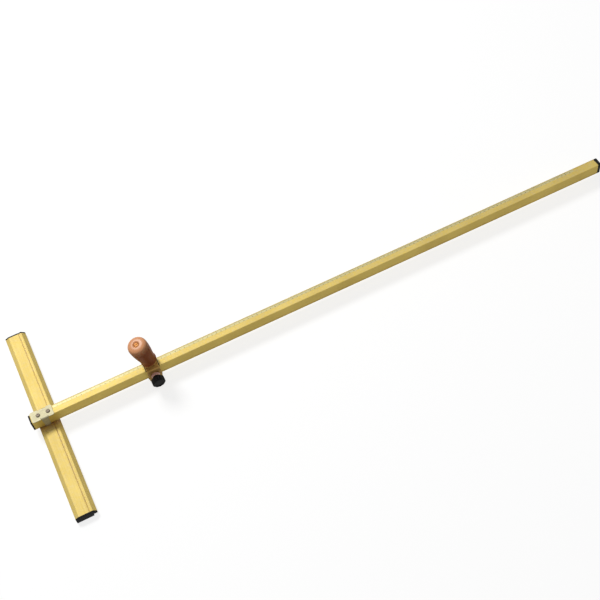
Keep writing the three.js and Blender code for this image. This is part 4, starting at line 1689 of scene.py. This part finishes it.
@dataclass
class Studio:
    """The camera at the photograph's angle, one soft lamp, a pale sky and a pale floor."""

    azimuth: float = -18.72
    elevation: float = 55.84
    roll: float = -8.82
    target: Triple = (543.0, 13.3, 8.6)
    distance: float = 2189.6
    lens: float = 63.80
    sensor: float = 36.0
    clip: Point = (50.0, 100000.0)
    lamp_target: Triple = (150.0, 0.0, 22.0)
    lamp_direction: Triple = (-0.16, 0.55, 0.82)
    lamp_distance: float = 3500.0
    lamp_size: float = 1000.0
    lamp_watts: float = 62.0
    sky: float = 0.2
    floor_z: float = -3.0
    floor_half: float = 15000.0
    floor_glow: float = 0.80
    floor_shown: float = 0.36
    floor_bounce: float = 0.27

    def build(self) -> None:
        """Builds the camera, the light and the floor."""
        self.camera()
        self.lamp()
        self.world()
        self.floor()
        LOG.info("studio is set")

    def camera(self) -> None:
        """Sets the camera at the photograph's angle."""
        azimuth, elevation, roll = (math.radians(a) for a in (self.azimuth, self.elevation, self.roll))
        back = Vector((
            math.sin(azimuth) * math.cos(elevation),
            -math.cos(azimuth) * math.cos(elevation),
            math.sin(elevation),
        ))
        level = Vector((math.cos(azimuth), math.sin(azimuth), 0))
        upright = back.cross(level)
        right = level * math.cos(roll) + upright * math.sin(roll)
        up = upright * math.cos(roll) - level * math.sin(roll)
        data = bpy.data.cameras.new("camera")
        data.lens = self.lens
        data.sensor_width = self.sensor
        data.clip_start, data.clip_end = (limit * MM for limit in self.clip)
        camera = linked("camera", data)
        camera.matrix_world = (
            Matrix.Translation((Vector(self.target) + back * self.distance) * MM)
            @ Matrix((right, up, back)).transposed().to_4x4()
        )
        bpy.context.scene.camera = camera

    def lamp(self) -> None:
        """Hangs the one soft lamp, above the object and behind the rod."""
        data = bpy.data.lights.new("soft_lamp", "AREA")
        data.shape = "DISK"
        data.size = self.lamp_size * MM
        data.energy = self.lamp_watts
        lamp = linked("soft_lamp", data)
        direction = Vector(self.lamp_direction).normalized()
        lamp.location = (Vector(self.lamp_target) + direction * self.lamp_distance) * MM
        lamp.rotation_euler = direction.to_track_quat("Z", "Y").to_euler()

    def world(self) -> None:
        """Makes a pale sky that the camera and reflections see as white."""
        world = bpy.data.worlds.new("sky")
        board = cleared(world)
        strength = board.ranged(self.seen(board), WHOLE, (self.sky, 1.0))
        background = board.add("Background", {"Color": WHITE, "Strength": strength})
        board.add("OutputWorld", {"Surface": background.outputs[0]})
        bpy.context.scene.world = world

    @staticmethod
    def seen(board: Board) -> Socket:
        """One for rays from the camera, reflections and glass, and zero for all others.

        Args:
            board: the nodes that ask.

        Returns:
            The output socket.
        """
        rays = board.add("LightPath").outputs
        bright = board.maths("MAXIMUM", rays["Is Camera Ray"], rays["Is Glossy Ray"])
        return board.maths("MAXIMUM", bright, rays["Is Transmission Ray"])

    def floor(self) -> None:
        """Lays the floor, white to the eye with the object's shadow, and open from below."""
        reach, level = self.floor_half * MM, self.floor_z * MM
        corners = [(x * reach, y * reach, level) for x, y in ((-1, -1), (1, -1), (1, 1), (-1, 1))]
        mesh = bpy.data.meshes.new("floor")
        mesh.from_pydata(corners, [], [(0, 1, 2, 3)])
        floor = linked("floor", mesh)
        material = bpy.data.materials.new("pale_floor")
        board = cleared(material)
        glow = board.add("Emission", {"Color": WHITE, "Strength": self.floor_glow})
        shown = board.add("BsdfDiffuse", {"Color": (self.floor_shown,) * 3})
        white = board.add("AddShader", {0: glow.outputs[0], 1: shown.outputs[0]})
        bounce = board.add("BsdfDiffuse", {"Color": (self.floor_bounce,) * 3})
        top = board.add("MixShader", {0: self.seen(board), 1: bounce.outputs[0], 2: white.outputs[0]})
        under = board.add("BsdfTransparent")
        behind = board.add("NewGeometry").outputs["Backfacing"]
        whole = board.add("MixShader", {0: behind, 1: top.outputs[0], 2: under.outputs[0]})
        board.add("OutputMaterial", {"Surface": whole.outputs[0]})
        mesh.materials.append(material)


def main() -> None:
    """Builds every sub-assembly in order, then the studio round them."""
    logging.basicConfig(level=logging.INFO, format="%(name)s: %(message)s")
    bpy.context.scene.view_settings.view_transform = "Standard"
    for assembly in (Fence(), GuideRod(), Saddle(), Carriage(), Lock(), Handle(), Cutter(), Studio()):
        assembly.build()
        LOG.info("%s is built", type(assembly).__name__)


if __name__ == "__main__":
    main()
